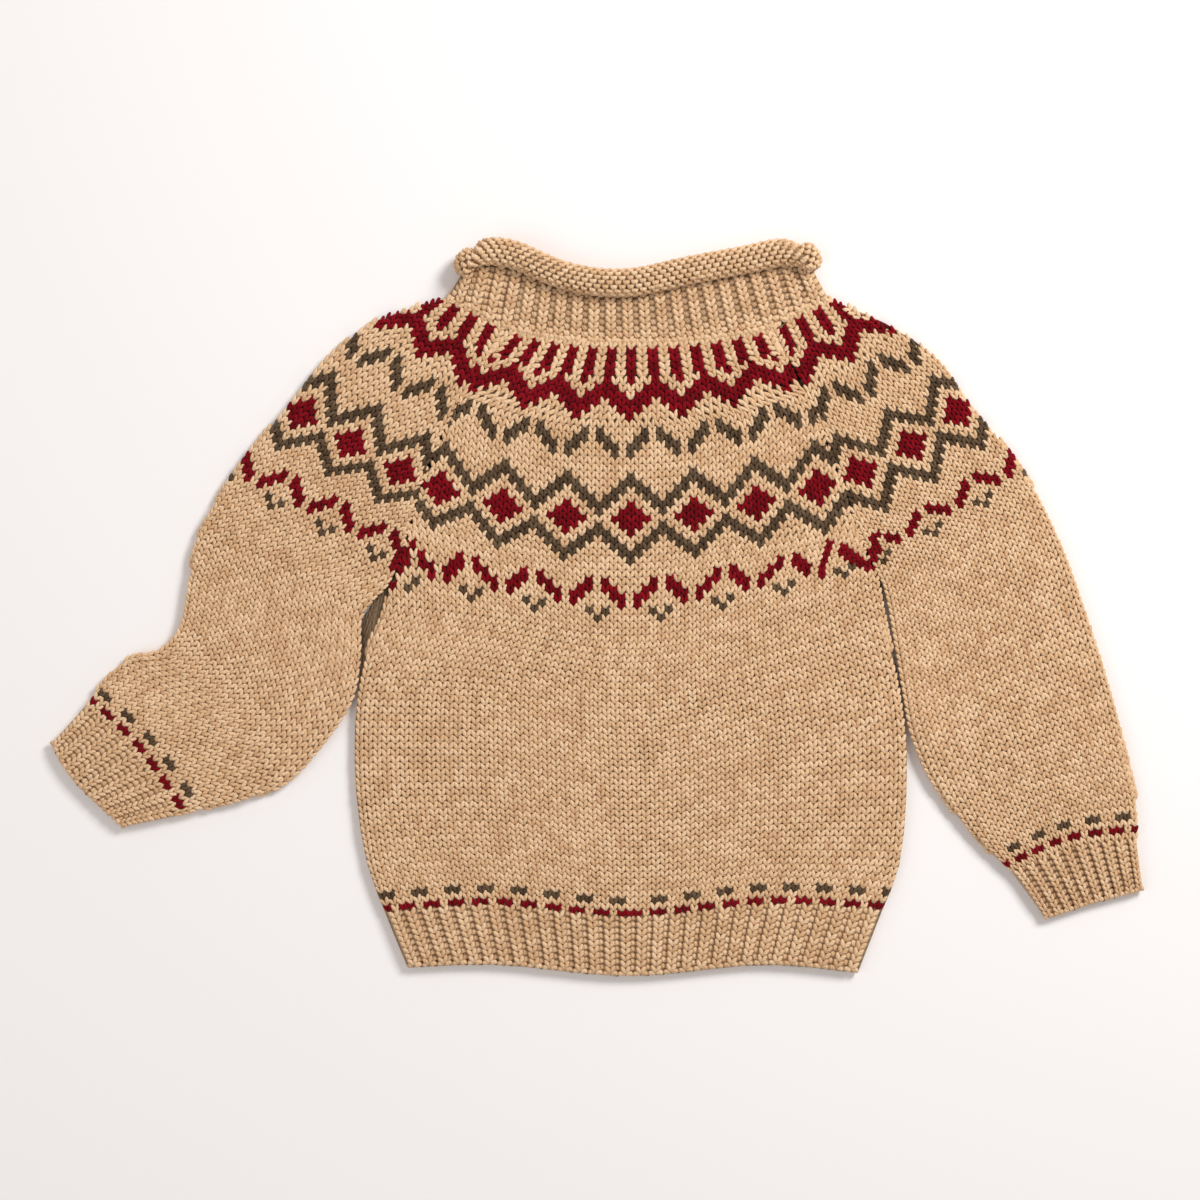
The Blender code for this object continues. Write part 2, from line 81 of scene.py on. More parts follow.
class Yarn(Enum):
    """The three yarns, numbered as the stitches carry them."""

    CREAM = 0
    MAROON = 1
    OLIVE = 2

    @property
    def label(self) -> str:
        """The yarn's input on the stitches' node tree."""
        return f"{self.name.title()} Yarn"


class StitchKind(Enum):
    """What one stitch shows on the face."""

    KNIT = "knit"
    PURL = "purl"


# ---------------------------------------------------------------- small helpers


def linear(code: str) -> tuple[float, float, float, float]:
    """Turns an sRGB hex colour to linear light.

    Args:
        code: the colour as "#rrggbb".

    Returns:
        Red, green, blue and an alpha of 1.
    """
    channels = []
    for start in (1, 3, 5):
        value = int(code[start : start + 2], 16) / 255
        channels.append(value / 12.92 if value <= 0.04045 else ((value + 0.055) / 1.055) ** 2.4)
    return channels[0], channels[1], channels[2], 1.0


def add(tree: bpy.types.NodeTree, kind: str, inputs: Any = (), **settings: Any) -> bpy.types.Node:
    """Adds a node with its settings, values and links.

    Args:
        tree: the node tree.
        kind: the node's type.
        inputs: for each input, in order or in a dict by its name or number, the value it has, or
            the socket or the node (by its first output) that it reads.
        settings: the node's own settings.

    Returns:
        The node.
    """
    node = tree.nodes.new(kind)
    for name, value in settings.items():
        setattr(node, name, value)
    for key, value in inputs.items() if isinstance(inputs, dict) else enumerate(inputs):
        if isinstance(value, bpy.types.Node):
            value = value.outputs[0]
        if isinstance(value, bpy.types.NodeSocket):
            tree.links.new(value, node.inputs[key])
        else:
            node.inputs[key].default_value = value
    return node


def empty_material(name: str) -> tuple[bpy.types.Material, bpy.types.NodeTree]:
    """Makes a material whose node tree is still empty.

    Args:
        name: its name.

    Returns:
        The material and its tree.
    """
    material = bpy.data.materials.new(name)
    material.use_nodes = True
    material.node_tree.nodes.clear()
    return material, material.node_tree


def put_in_scene(name: str, data: bpy.types.ID) -> bpy.types.Object:
    """Makes an object and puts it in the scene.

    Args:
        name: its name.
        data: its mesh, light or camera.

    Returns:
        The object.
    """
    thing = bpy.data.objects.new(name, data)
    bpy.context.scene.collection.objects.link(thing)
    return thing


def smooth_point(points: list[Plan], at: float) -> Plan:
    """Finds a point of the smooth curve through some points.

    Args:
        points: the points that the curve passes through.
        at: where on it, counting from the first point.

    Returns:
        The point.
    """
    k = min(int(at), len(points) - 2)
    t = at - k
    p, q, r, s = (points[min(max(i, 0), len(points) - 1)] for i in (k - 1, k, k + 1, k + 2))
    return tuple(
        b + 0.5 * t * (c - a + t * (2 * a - 5 * b + 4 * c - d + t * (3 * (b - c) + d - a)))
        for a, b, c, d in zip(p, q, r, s)
    )


def smooth_value(table: list[tuple[float, float]], at: float) -> float:
    """Reads a smooth curve through (number, value) pairs, whose numbers grow.

    Args:
        table: the pairs.
        at: the number to read it at.

    Returns:
        The value there.
    """
    slopes = [(b[1] - a[1]) / (b[0] - a[0]) for a, b in zip(table, table[1:])]
    ends = [slopes[0], *(0.5 * (a + b) for a, b in zip(slopes, slopes[1:])), slopes[-1]]
    k = 0
    while k < len(table) - 2 and table[k + 1][0] < at:
        k += 1
    (low, start), (high, end) = table[k], table[k + 1]
    step = high - low
    t = min(max((at - low) / step, 0.0), 1.0)
    bend = (1 - t) * (ends[k] * step - (end - start)) + t * ((end - start) - ends[k + 1] * step)
    return start + (end - start) * t + t * (1 - t) * bend


def between(table: list[tuple[float, ...]], at: float) -> tuple[float, ...]:
    """Reads a table of rows that start with a growing number, with straight steps between.

    Args:
        table: the rows.
        at: the number to read it at.

    Returns:
        The row's other values.
    """
    if at <= table[0][0]:
        return tuple(table[0][1:])
    for low, high in zip(table, table[1:]):
        if at <= high[0]:
            t = (at - low[0]) / (high[0] - low[0])
            return tuple(a + (b - a) * t for a, b in zip(low[1:], high[1:]))
    return tuple(table[-1][1:])


# ---------------------------------------------------------------- the chart


@dataclass(frozen=True)
class Motif:
    """A slanting or upright run of one yarn, the same on both sides of each motif's middle."""

    yarn: Yarn
    repeat: int  # stitches from one motif to the next
    nearest: int  # first and last column, counted from the motif's middle
    furthest: int
    start: int  # first course of the column in the middle
    slope: int  # courses further down for each column outwards
    depth: int  # courses deep
    shift: int = 0  # columns that the motif's middle lies to the left

    def covers(self, column: int, course: int, repeat: int) -> bool:
        """Says whether a stitch belongs to the motif.

        Args:
            column: the stitch's column, from the pattern's middle.
            course: the stitch's course.
            repeat: the stitches in a repeat at that course.

        Returns:
            Whether the motif's yarn works it.
        """
        if repeat != self.repeat:
            return False
        away = (column + self.shift) % self.repeat
        away = min(away, self.repeat - away)
        down = course - self.start - self.slope * away
        return self.nearest <= away <= self.furthest and 0 <= down < self.depth


CHART = (
    Motif(Yarn.MAROON, 4, 0, 0, -23, 0, 4),  # bars under the neck
    Motif(Yarn.MAROON, 4, 2, 2, -23, 0, 4),
    Motif(Yarn.MAROON, 6, 0, 0, -19, 0, 1),  # the pointed foot of every second bar
    Motif(Yarn.MAROON, 6, 0, 3, -16, -1, 3),  # upper zigzag
    Motif(Yarn.OLIVE, 8, 1, 3, -9, -1, 2, 1),  # broken band
    Motif(Yarn.OLIVE, 8, 0, 4, -6, 1, 2),  # lattice round the diamonds
    Motif(Yarn.OLIVE, 8, 0, 4, 5, -1, 2),
    Motif(Yarn.MAROON, 8, 0, 0, -2, 0, 5),  # diamonds
    Motif(Yarn.MAROON, 8, 1, 1, -1, 0, 3),
    Motif(Yarn.MAROON, 8, 2, 2, 0, 0, 1),
    Motif(Yarn.MAROON, 8, 1, 3, 12, -1, 2),  # wings
    Motif(Yarn.OLIVE, 8, 3, 4, 10, 1, 1),  # small points under the wings
)
# Decreases: the first course with more stitches in a repeat than the courses above it.
BARS_END, ZIGZAG_END = -19, -13


def stitches_per_repeat(course: float) -> int:
    """Counts the stitches that a repeat of the pattern has.

    Args:
        course: the course.

    Returns:
        The number of stitches.
    """
    if course < BARS_END - 0.5:
        return 4
    return 6 if course < ZIGZAG_END - 0.5 else 8


def charted(column: int, course: int) -> Yarn:
    """Reads the yoke's chart.

    Args:
        column: the column, from the pattern's middle.
        course: the course.

    Returns:
        The yarn that works the stitch.
    """
    for motif in CHART:
        if motif.covers(column, course, stitches_per_repeat(course)):
            return motif.yarn
    return Yarn.CREAM


# ---------------------------------------------------------------- finishes


@dataclass(frozen=True)
class CottonYarn:
    """Hand-knitting cotton: mercerised lightly, three plies, matt, with a soft bloom."""

    name: str
    colour: str
    shade: str
    light: str
    roughness: float = 0.88
    sheen: float = 0.08
    specular: float = 0.2
    ply_turns: float = 2.6  # of the plies along one leg of a stitch
    ply_slant: float = 1.1  # turns of the plies across it
    ply_depth: float = 0.16  # mm
    fibre_size: float = 0.45  # mm, coarser than real fibres so that it shows
    fibre_depth: float = 0.07  # mm
    dye_size: float = 22.0  # mm between paler and darker places
    tones: tuple[float, float, float] = (0.6, 0.4, 0.1)  # shares of stitch, dye and ply in the tone; the ply's is painted shade along the twist
    tone_ends: tuple[float, float] = (0.1, 0.9)  # tones where the yarn is darkest and palest

    def material(self) -> bpy.types.Material:
        """Makes the yarn's material. The plies' twist breaks the highlight along each leg, in bumps
        and in a little painted shade, and every stitch is a little paler or darker than its
        neighbours.

        Returns:
            The material.
        """
        material, tree = empty_material(self.name)
        place = add(tree, "ShaderNodeTexCoord").outputs["Object"]
        strand = add(tree, "ShaderNodeAttribute", attribute_name="strand").outputs["Vector"]
        axes = add(tree, "ShaderNodeSeparateXYZ", (strand,)).outputs
        own = add(tree, "ShaderNodeAttribute", attribute_name="shade").outputs["Fac"]
        dye = add(tree, "ShaderNodeTexNoise", {"Vector": place, "Scale": 1 / (self.dye_size * MM)})
        fibres = add(
            tree, "ShaderNodeTexNoise",
            {"Vector": place, "Scale": 1 / (self.fibre_size * MM), "Detail": 2.0},
        )
        # The plies run round the strand: a wave along it that the way across carries on.
        turns, slant = self.ply_turns * 2 * math.pi, self.ply_slant * 2 * math.pi
        along = add(tree, MATH, (axes["Z"], turns), operation="MULTIPLY")
        twist = add(tree, MATH, (axes["X"], slant, along), operation="MULTIPLY_ADD")
        ply = add(tree, MATH, (twist,), operation="SINE")
        # The tone mixes each stitch's own tone and the dye's, which differ at random, with a little
        # painted shade along the plies.
        tone: Any = 0.0
        for source, share in zip((own, dye.outputs["Fac"], ply), self.tones):
            tone = add(tree, MATH, (source, share, tone), operation="MULTIPLY_ADD")
        ramp = add(tree, "ShaderNodeValToRGB", {"Fac": tone})
        stops = ramp.color_ramp.elements
        for stop, position, colour in zip(stops, self.tone_ends, (self.shade, self.light)):
            stop.position, stop.color = position, linear(colour)
        stops.new(0.5).color = linear(self.colour)
        share = self.fibre_depth / self.ply_depth
        height = add(tree, MATH, (fibres.outputs["Fac"], share, ply), operation="MULTIPLY_ADD")
        bump = add(
            tree, "ShaderNodeBump",
            {"Height": height, "Distance": self.ply_depth * MM, "Strength": 0.6},
        )
        shader = add(
            tree, "ShaderNodeBsdfPrincipled",
            {
                "Base Color": ramp, "Roughness": self.roughness, "Sheen Weight": self.sheen,
                "Sheen Roughness": 0.6, "IOR": 1.45, "Specular IOR Level": self.specular,
                "Normal": bump,
            },
        )
        add(tree, "ShaderNodeOutputMaterial", {"Surface": shader})
        return material


@dataclass(frozen=True)
class StrandedCloth:
    """The cloth behind the stitches: the same yarns, with painted shade deep between the legs where
    little light reaches, and knitted in relief where it shows on the underside."""

    name: str
    yarns: tuple[CottonYarn, CottonYarn, CottonYarn]
    depth_shade: float = 0.12  # painted shade: the share of the light that reaches between the legs of a stitch
    relief: float = 0.9  # mm
    lean: float = 1.1  # courses that a leg leans over, for each column outwards
    roundness: float = 0.6  # of a leg's section; a lower power is flatter
    roughness: float = 0.92

    def material(self) -> bpy.types.Material:
        """Makes the cloth's material: the chart and painted shade, from the "knitting" attribute.

        Returns:
            The material.
        """
        material, tree = empty_material(self.name)
        place = add(tree, "ShaderNodeAttribute", attribute_name="knitting").outputs["Vector"]
        axes = add(tree, "ShaderNodeSeparateXYZ", (place,)).outputs
        phase, course, painted_shade_share = axes["X"], axes["Y"], axes["Z"]
        # A repeat has 8 stitches, and 2 fewer above each round of decreases.
        bars = add(tree, MATH, (course, BARS_END - 0.5), operation="LESS_THAN")
        zigzag = add(tree, MATH, (course, ZIGZAG_END - 0.5), operation="LESS_THAN")
        decreases = add(tree, MATH, (bars, zigzag), operation="ADD")
        count = add(tree, MATH, (decreases, -2.0, 8.0), operation="MULTIPLY_ADD")
        across = add(tree, MATH, (phase, count), operation="MULTIPLY")
        column = add(tree, MATH, (across,), operation="ROUND")
        row = add(tree, MATH, (course,), operation="ROUND")
        masks: dict[Yarn, Any] = {Yarn.MAROON: 0.0, Yarn.OLIVE: 0.0}
        for motif in CHART:
            shifted = add(tree, MATH, (column, float(motif.shift)), operation="ADD")
            away = add(tree, MATH, (shifted, motif.repeat / 2), operation="PINGPONG")
            down = add(tree, MATH, (away, -float(motif.slope), row), operation="MULTIPLY_ADD")
            cell: Any = 1.0
            # In the motif are the stitches of its courses, its columns and its repeat.
            for value, low, high in (
                (down, motif.start, motif.start + motif.depth - 1),
                (away, motif.nearest, motif.furthest),
                (count, motif.repeat, motif.repeat),
            ):
                middle, reach = (low + high) / 2, (high - low) / 2 + 0.4
                inside = add(tree, MATH, (value, middle, reach), operation="COMPARE")
                cell = add(tree, MATH, (cell, inside), operation="MULTIPLY")
            masks[motif.yarn] = add(tree, MATH, (masks[motif.yarn], cell), operation="MAXIMUM")
        colour: Any = linear(self.yarns[Yarn.CREAM.value].colour)
        for yarn, mask in masks.items():
            own = linear(self.yarns[yarn.value].colour)
            inputs = {"Factor": mask, 6: colour, 7: own}
            colour = add(tree, "ShaderNodeMix", inputs, data_type="RGBA").outputs[2]
        # The legs of the stitches lean out from each column's middle.
        apart = add(tree, MATH, (across, column), operation="SUBTRACT")
        off = add(tree, MATH, (apart,), operation="ABSOLUTE")
        leaning = add(tree, MATH, (off, self.lean, course), operation="MULTIPLY_ADD")
        within = add(tree, MATH, (leaning,), operation="FRACT")
        doubled = add(tree, MATH, (within, 2.0), operation="MULTIPLY")
        leg = add(tree, MATH, (doubled, 1.0), operation="PINGPONG")
        rounded = add(tree, MATH, (leg, self.roundness), operation="POWER")
        sides = add(tree, MATH, (off, 0.25), operation="PINGPONG")  # two legs in a column
        crowned = add(tree, MATH, (sides,), operation="SQRT")
        height = add(tree, MATH, (rounded, crowned), operation="MULTIPLY")
        bump = add(
            tree, "ShaderNodeBump",
            {"Height": height, "Distance": self.relief * MM, "Strength": 0.8},
        )
        # Painted shade: the colour darkens by the third value of the knitting attribute, between the
        # legs.
        lit = add(tree, MATH, (painted_shade_share, self.depth_shade - 1.0, 1.0), operation="MULTIPLY_ADD")
        scaled = add(tree, "ShaderNodeVectorMath", {0: colour, "Scale": lit}, operation="SCALE")
        shader = add(
            tree, "ShaderNodeBsdfPrincipled",
            {
                "Base Color": scaled, "Roughness": self.roughness, "Sheen Weight": 0.05,
                "Specular IOR Level": 0.15, "Normal": bump,
            },
        )
        add(tree, "ShaderNodeOutputMaterial", {"Surface": shader})
        return material


# A warm pale ground, whose soft sheen shows how round each leg is.
CREAM = CottonYarn("cream combed cotton yarn", "#deb990", "#cfa67c", "#ebcaa4")
# Deep red with less sheen, so that the motifs stand dark and clear on the ground.
MAROON = CottonYarn(
    "maroon combed cotton yarn", "#78000e", "#620009", "#8a0a1a", sheen=0.03, specular=0.1
)
# A quiet brown, almost without sheen, for the lattice and the dashes.
OLIVE = CottonYarn(
    "olive-brown combed cotton yarn", "#5c4834", "#4a3826", "#6c5842", sheen=0.04, specular=0.12
)
# Painted shade between the legs: dark lines that set them apart on the face; low relief on the
# underside.
CLOTH = StrandedCloth("stranded cotton cloth with painted shade", (CREAM, MAROON, OLIVE))


# ---------------------------------------------------------------- stitches


@dataclass(frozen=True)
class StitchShape:
    """The yarn that one stitch shows, at its nominal size."""

    column: float = 4.8  # the nominal stitch: one column wide and one course high
    course: float = 4.0
    leg_length: float = 5.9
    leg_width: float = 2.55
    leg_height: float = 2.6
    spread: float = 1.18  # of a leg's middle from the column's middle
    lean: float = 23.0  # degrees that a leg leans out towards the neck
    tilt: float = 7.0  # degrees that its foot stands over the course below
    bow: float = 0.0  # how far a purl bump's middle rises towards the neck
    plumpness: float = 0.0  # how much of its width the yarn keeps towards its ends
    segments: int = 6
    rings: int = 4

    def inputs(self) -> dict[str, float]:
        """Gives the sizes that the node tree takes.

        Returns:
            Each input's size by its name, in metres and radians.
        """
        return {
            "Leg Length": self.leg_length * MM, "Leg Width": self.leg_width * MM,
            "Leg Height": self.leg_height * MM, "Spread": self.spread * MM,
            "Lean": math.radians(self.lean), "Tilt": math.radians(self.tilt),
            "Bow": self.bow * MM, "Plumpness": self.plumpness,
        }


SHAPES = {
    StitchKind.KNIT: StitchShape(),
    StitchKind.PURL: StitchShape(
        leg_length=5.6, leg_width=4.1, leg_height=2.8, spread=0.0, lean=90.0, tilt=0.0, bow=1.3,
        plumpness=0.6,
    ),
}


@dataclass(frozen=True)
class StitchPlace:
    """Where one stitch lies."""

    at: Vector  # in millimetres
    up: Vector  # along its column, towards the neck
    normal: Vector
    width: float
    height: float
    yarn: Yarn = Yarn.CREAM
    turn: float = 0.0  # degrees about the normal


# What each point carries for its stitch: how it is turned and sized, and its yarn.
CARRIED = {"turn": "FLOAT_VECTOR", "size": "FLOAT_VECTOR", "yarn": "FLOAT"}
# The stitches on one part of a piece: its name, their kind, how deep they are sunk, their places.
Part = tuple[str, StitchKind, float, list[StitchPlace]]


def stitch_tree(name: str, kind: StitchKind, shape: StitchShape) -> bpy.types.NodeTree:
    """Builds the node tree that lays one kind of stitch on every point.

    Args:
        name: the tree's name.
        kind: a knit stitch of two legs, or a purl bump.
        shape: its sizes, which become the tree's inputs.

    Returns:
        The tree.
    """
    tree = bpy.data.node_groups.new(name, "GeometryNodeTree")
    sockets = [("Geometry", "Geometry"), *((label, "Float") for label in shape.inputs())]
    sockets += [("Unevenness", "Float"), ("Seed", "Int")]
    sockets += [(yarn.label, "Material") for yarn in Yarn]
    for label, socket in sockets:
        tree.interface.new_socket(label, in_out="INPUT", socket_type=f"NodeSocket{socket}")
    tree.interface.new_socket("Geometry", in_out="OUTPUT", socket_type="NodeSocketGeometry")
    given = add(tree, "NodeGroupInput").outputs

    ball = add(
        tree, "GeometryNodeMeshUVSphere",
        {"Segments": shape.segments, "Rings": shape.rings, "Radius": 0.5},
    )
    position = add(tree, "GeometryNodeInputPosition")
    axes = add(tree, "ShaderNodeSeparateXYZ", (position,)).outputs
    strand = add(
        tree, "GeometryNodeStoreNamedAttribute",
        {"Geometry": ball, "Name": "strand", "Value": position},
        data_type="FLOAT_VECTOR", domain="POINT",
    )
    # The ball's rings near its poles are widened, so that the yarn has blunter ends.
    far = add(tree, MATH, (axes["Z"], axes["Z"]), operation="MULTIPLY")
    plump = add(tree, MATH, (far, given["Plumpness"]), operation="MULTIPLY")
    widened = add(tree, MATH, (plump, 2.0, 1.0), operation="MULTIPLY_ADD")
    ends = add(tree, "ShaderNodeCombineXYZ", (widened, widened, 1.0))
    blunt = add(tree, "ShaderNodeVectorMath", (position, ends), operation="MULTIPLY")
    strand = add(tree, "GeometryNodeSetPosition", {"Geometry": strand, "Position": blunt})
    sides = (given["Leg Width"], given["Leg Height"], given["Leg Length"])
    size = add(tree, "ShaderNodeCombineXYZ", sides)
    upright = add(tree, MATH, (given["Tilt"], math.radians(90)), operation="ADD")
    stitch = add(tree, "GeometryNodeJoinGeometry")
    for side in (1.0, -1.0) if kind is StitchKind.KNIT else (1.0,):
        lean = add(tree, MATH, (given["Lean"], -side), operation="MULTIPLY")
        away = add(tree, MATH, (given["Spread"], side), operation="MULTIPLY")
        turn = add(tree, "ShaderNodeCombineXYZ", {"X": upright, "Z": lean})
        shift = add(tree, "ShaderNodeCombineXYZ", {"X": away})
        leg = add(
            tree, "GeometryNodeTransform",
            {"Geometry": strand, "Translation": shift, "Rotation": turn, "Scale": size},
        )
        tree.links.new(leg.outputs[0], stitch.inputs[0])
    # A purl bump bows up in its middle; a knit leg has no bow.
    share = add(tree, MATH, (axes["X"], given["Leg Length"]), operation="DIVIDE")
    square = add(tree, MATH, (share, share), operation="MULTIPLY")
    drop = add(tree, MATH, (square, -4.0, 1.0), operation="MULTIPLY_ADD")  # 0 at both ends
    rise = add(tree, MATH, (drop, given["Bow"]), operation="MULTIPLY")
    offset = add(tree, "ShaderNodeCombineXYZ", {"Y": rise})
    bowed = add(tree, "GeometryNodeSetPosition", {"Geometry": stitch, "Offset": offset})

    low, high = (
        add(tree, MATH, (1.0, given["Unevenness"]), operation=operation)
        for operation in ("SUBTRACT", "ADD")
    )
    uneven = add(
        tree, "FunctionNodeRandomValue", {0: low, 1: high, "Seed": given["Seed"]},
        data_type="FLOAT_VECTOR",
    )
    own = add(tree, "FunctionNodeRandomValue", {"Seed": given["Seed"]}, data_type="FLOAT")
    shaded = add(
        tree, "GeometryNodeStoreNamedAttribute",
        {"Geometry": given["Geometry"], "Name": "shade", "Value": own.outputs[1]},
        data_type="FLOAT", domain="POINT",
    )
    turned, sized, which = (
        add(tree, "GeometryNodeInputNamedAttribute", {"Name": label}, data_type=carried)
        for label, carried in CARRIED.items()
    )
    scale = add(tree, "ShaderNodeVectorMath", (sized, uneven), operation="MULTIPLY")
    rotation = add(tree, "FunctionNodeEulerToRotation", (turned,))
    laid = add(
        tree, "GeometryNodeInstanceOnPoints",
        {"Points": shaded, "Instance": bowed, "Rotation": rotation, "Scale": scale},
    )
    smooth = add(tree, "GeometryNodeSetShadeSmooth", {"Geometry": laid})
    result = add(tree, "GeometryNodeRealizeInstances", {"Geometry": smooth})
    for yarn in Yarn:
        chosen = add(
            tree, "FunctionNodeCompare", (which, yarn.value - 0.5),
            data_type="FLOAT", operation="GREATER_THAN",
        )
        result = add(
            tree, "GeometryNodeSetMaterial",
            {"Geometry": result, "Selection": chosen, "Material": given[yarn.label]},
        )
    add(tree, "NodeGroupOutput", (result,))
    return tree


@dataclass
class StitchField:
    """Stitches of one kind on one part of a piece."""

    name: str
    slot: str
    kind: StitchKind
    sink: float  # mm that the stitches' middles lie under the solid's face
    places: list[StitchPlace]
    seed: int
    unevenness: float = 0.06

    def points(self) -> bpy.types.Object:
        """Makes the points that the tree lays stitches on, with how each is turned and sized.

        Returns:
            The object that holds them.
        """
        shape = SHAPES[self.kind]
        mesh = bpy.data.meshes.new(self.name)
        middles = [tuple((p.at - p.normal * self.sink) * MM) for p in self.places]
        mesh.from_pydata(middles, [], [])
        turns, sizes = [], []
        for p in self.places:
            up = (p.up - p.normal * p.up.dot(p.normal)).normalized()
            basis = Matrix((up.cross(p.normal), up, p.normal)).transposed()
            spin = Matrix.Rotation(math.radians(p.turn), 3, "Z")
            turns.extend((basis @ spin).to_euler())
            sizes.extend((p.width / shape.column, p.height / shape.course, 1.0))
        yarns = [float(p.yarn.value) for p in self.places]
        for (name, kind), values in zip(CARRIED.items(), (turns, sizes, yarns)):
            data = mesh.attributes.new(name, kind, "POINT").data
            data.foreach_set("vector" if kind == "FLOAT_VECTOR" else "value", values)
        return put_in_scene(self.name, mesh)

    def build(self, yarns: dict[Yarn, bpy.types.Material]) -> bpy.types.Object:
        """Grows the stitches and makes them one plain mesh that rides on the jumper.

        Args:
            yarns: the material of each yarn.

        Returns:
            The finished piece.
        """
        shape = SHAPES[self.kind]
        piece = self.points()
        tree = stitch_tree(f"{self.name} tree", self.kind, shape)
        values = {
            **shape.inputs(), "Unevenness": self.unevenness, "Seed": self.seed,
            **{yarn.label: yarns[yarn] for yarn in Yarn},
        }
        modifier = piece.modifiers.new("stitches", "NODES")
        modifier.node_group = tree
        for item in tree.interface.items_tree:
            if item.in_out == "INPUT" and item.name in values:
                modifier[item.identifier] = values[item.name]
        bpy.context.view_layer.update()
        graph = bpy.context.evaluated_depsgraph_get()
        mesh = bpy.data.meshes.new_from_object(
            piece.evaluated_get(graph), preserve_all_data_layers=True, depsgraph=graph
        )
        piece.modifiers.clear()
        points, piece.data = piece.data, mesh
        bpy.data.meshes.remove(points)
        mesh.name = self.name
        for name in CARRIED:
            if name in mesh.attributes:
                mesh.attributes.remove(mesh.attributes[name])
        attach(piece, "root")
        log.info("%s: %d stitches, %d faces", self.name, len(self.places), len(mesh.polygons))
        return piece


# ---------------------------------------------------------------- rows of knitting


@dataclass
class RowCurve:
    """A row of knitting in plan: a smooth curve through points, measured along its length."""

    points: list[Plan]
    steps: int = 10  # pieces between two points
    line: list[Plan] = field(init=False)
    marks: list[float] = field(init=False)

    def __post_init__(self) -> None:
        """Measures the curve."""
        count = (len(self.points) - 1) * self.steps
        self.line = [smooth_point(self.points, k / self.steps) for k in range(count + 1)]
        self.marks = [0.0]
        for a, b in zip(self.line, self.line[1:]):
            self.marks.append(self.marks[-1] + math.dist(a, b))

    @property
    def length(self) -> float:
        """The curve's length."""
        return self.marks[-1]

    def at(self, distance: float) -> Plan:
        """Finds a point on the curve, which runs straight on beyond its ends.

        Args:
            distance: how far along the curve.

        Returns:
            The point.
        """
        k = 0
        while k < len(self.line) - 2 and self.marks[k + 1] < distance:
            k += 1
        t = (distance - self.marks[k]) / (self.marks[k + 1] - self.marks[k])
        (ax, ay), (bx, by) = self.line[k], self.line[k + 1]
        return ax + (bx - ax) * t, ay + (by - ay) * t

    def nearest(self, place: Plan) -> float:
        """Measures how far along the curve its nearest point to a place is.

        Args:
            place: the place.

        Returns:
            The distance along the curve.
        """
        best, found = math.inf, 0.0
        for k, (a, b) in enumerate(zip(self.line, self.line[1:])):
            dx, dy = b[0] - a[0], b[1] - a[1]
            t = ((place[0] - a[0]) * dx + (place[1] - a[1]) * dy) / (dx * dx + dy * dy)
            t = min(max(t, 0.0), 1.0)
            away = math.dist(place, (a[0] + dx * t, a[1] + dy * t))
            if away < best:
                best, found = away, self.marks[k] + t * math.hypot(dx, dy)
        return found


@dataclass
class Course:
    """One knitted row of a piece, with the pattern's middle on it."""

    curve: RowCurve
    middle: float  # distance along the curve to the pattern's middle
    repeats: tuple[float, float]  # lengths of a repeat of the pattern before and after it

    def at(self, phase: float) -> Plan:
        """Finds the point this many repeats from the pattern's middle."""
        return self.curve.at(self.middle + phase * self.repeats[phase > 0])

    def phase(self, distance: float) -> float:
        """Counts the repeats from the pattern's middle to a distance along the row."""
        away = distance - self.middle
        return away / self.repeats[away > 0]


class Solid:
    """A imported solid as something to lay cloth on."""

    ABOVE = 60.0  # mm, higher than all of the part

    def __init__(self, node: bpy.types.Object) -> None:
        """Reads the solid's faces.

        Args:
            node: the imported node.
        """
        points = [v.co.copy() for v in node.data.vertices]
        faces = [tuple(f.vertices) for f in node.data.polygons]
        self.tree = BVHTree.FromPolygons(points, faces)

    def top(self, x: float, y: float) -> tuple[float, Vector] | None:
        """Finds the height of the upper face over a place and the way it faces, or None."""
        hit, normal, _, _ = self.tree.ray_cast(Vector((x, y, self.ABOVE)) * MM, Vector((0, 0, -1)))
        return None if hit is None else (hit.z / MM, normal)


@dataclass(frozen=True)
class SeamJoin:
    """A slanting run of stitches beside a raglan seam, where the motifs of two pieces meet."""

    yarn: Yarn
    end: int  # 0 at the row's start, 1 at its end
    near: float  # from the seam to the run at its last course
    breadth: float
    start: int
    stop: int  # the last course
    slope: float = 0.0  # mm further from the seam for each course above the last

    def covers(self, number: int, distance: float, length: float) -> bool:
        """Says whether a stitch belongs to the join.

        Args:
            number: the stitch's course.
            distance: how far along the row it lies.
            length: the row's length.

        Returns:
            Whether the join's yarn works it.
        """
        away = length - distance if self.end else distance
        away -= self.near + self.slope * (self.stop - number)
        return self.start <= number <= self.stop and 0 <= away < self.breadth


# How far a face looks up: to the surface, over the edge and to the light.
LOOKS_DOWN, SIDEWAYS, UPWARDS = -0.3, 0.2, 0.8
WELD = 0.02  # mm between corners that are one
# Shares of a rib's breadth that the stitches on its crest and in its hollow take.
CREST, HOLLOW = 0.6, 0.46
# Courses shallower than the first aren't worked, and none is worked deeper than the second.
LEAST_COURSE, MOST_COURSE = 0.5, 5.0
AHEAD = 0.02  # part of a repeat over which a row's direction is read
BODY_START = 18  # first course below the yoke's pattern, where a new mesh starts


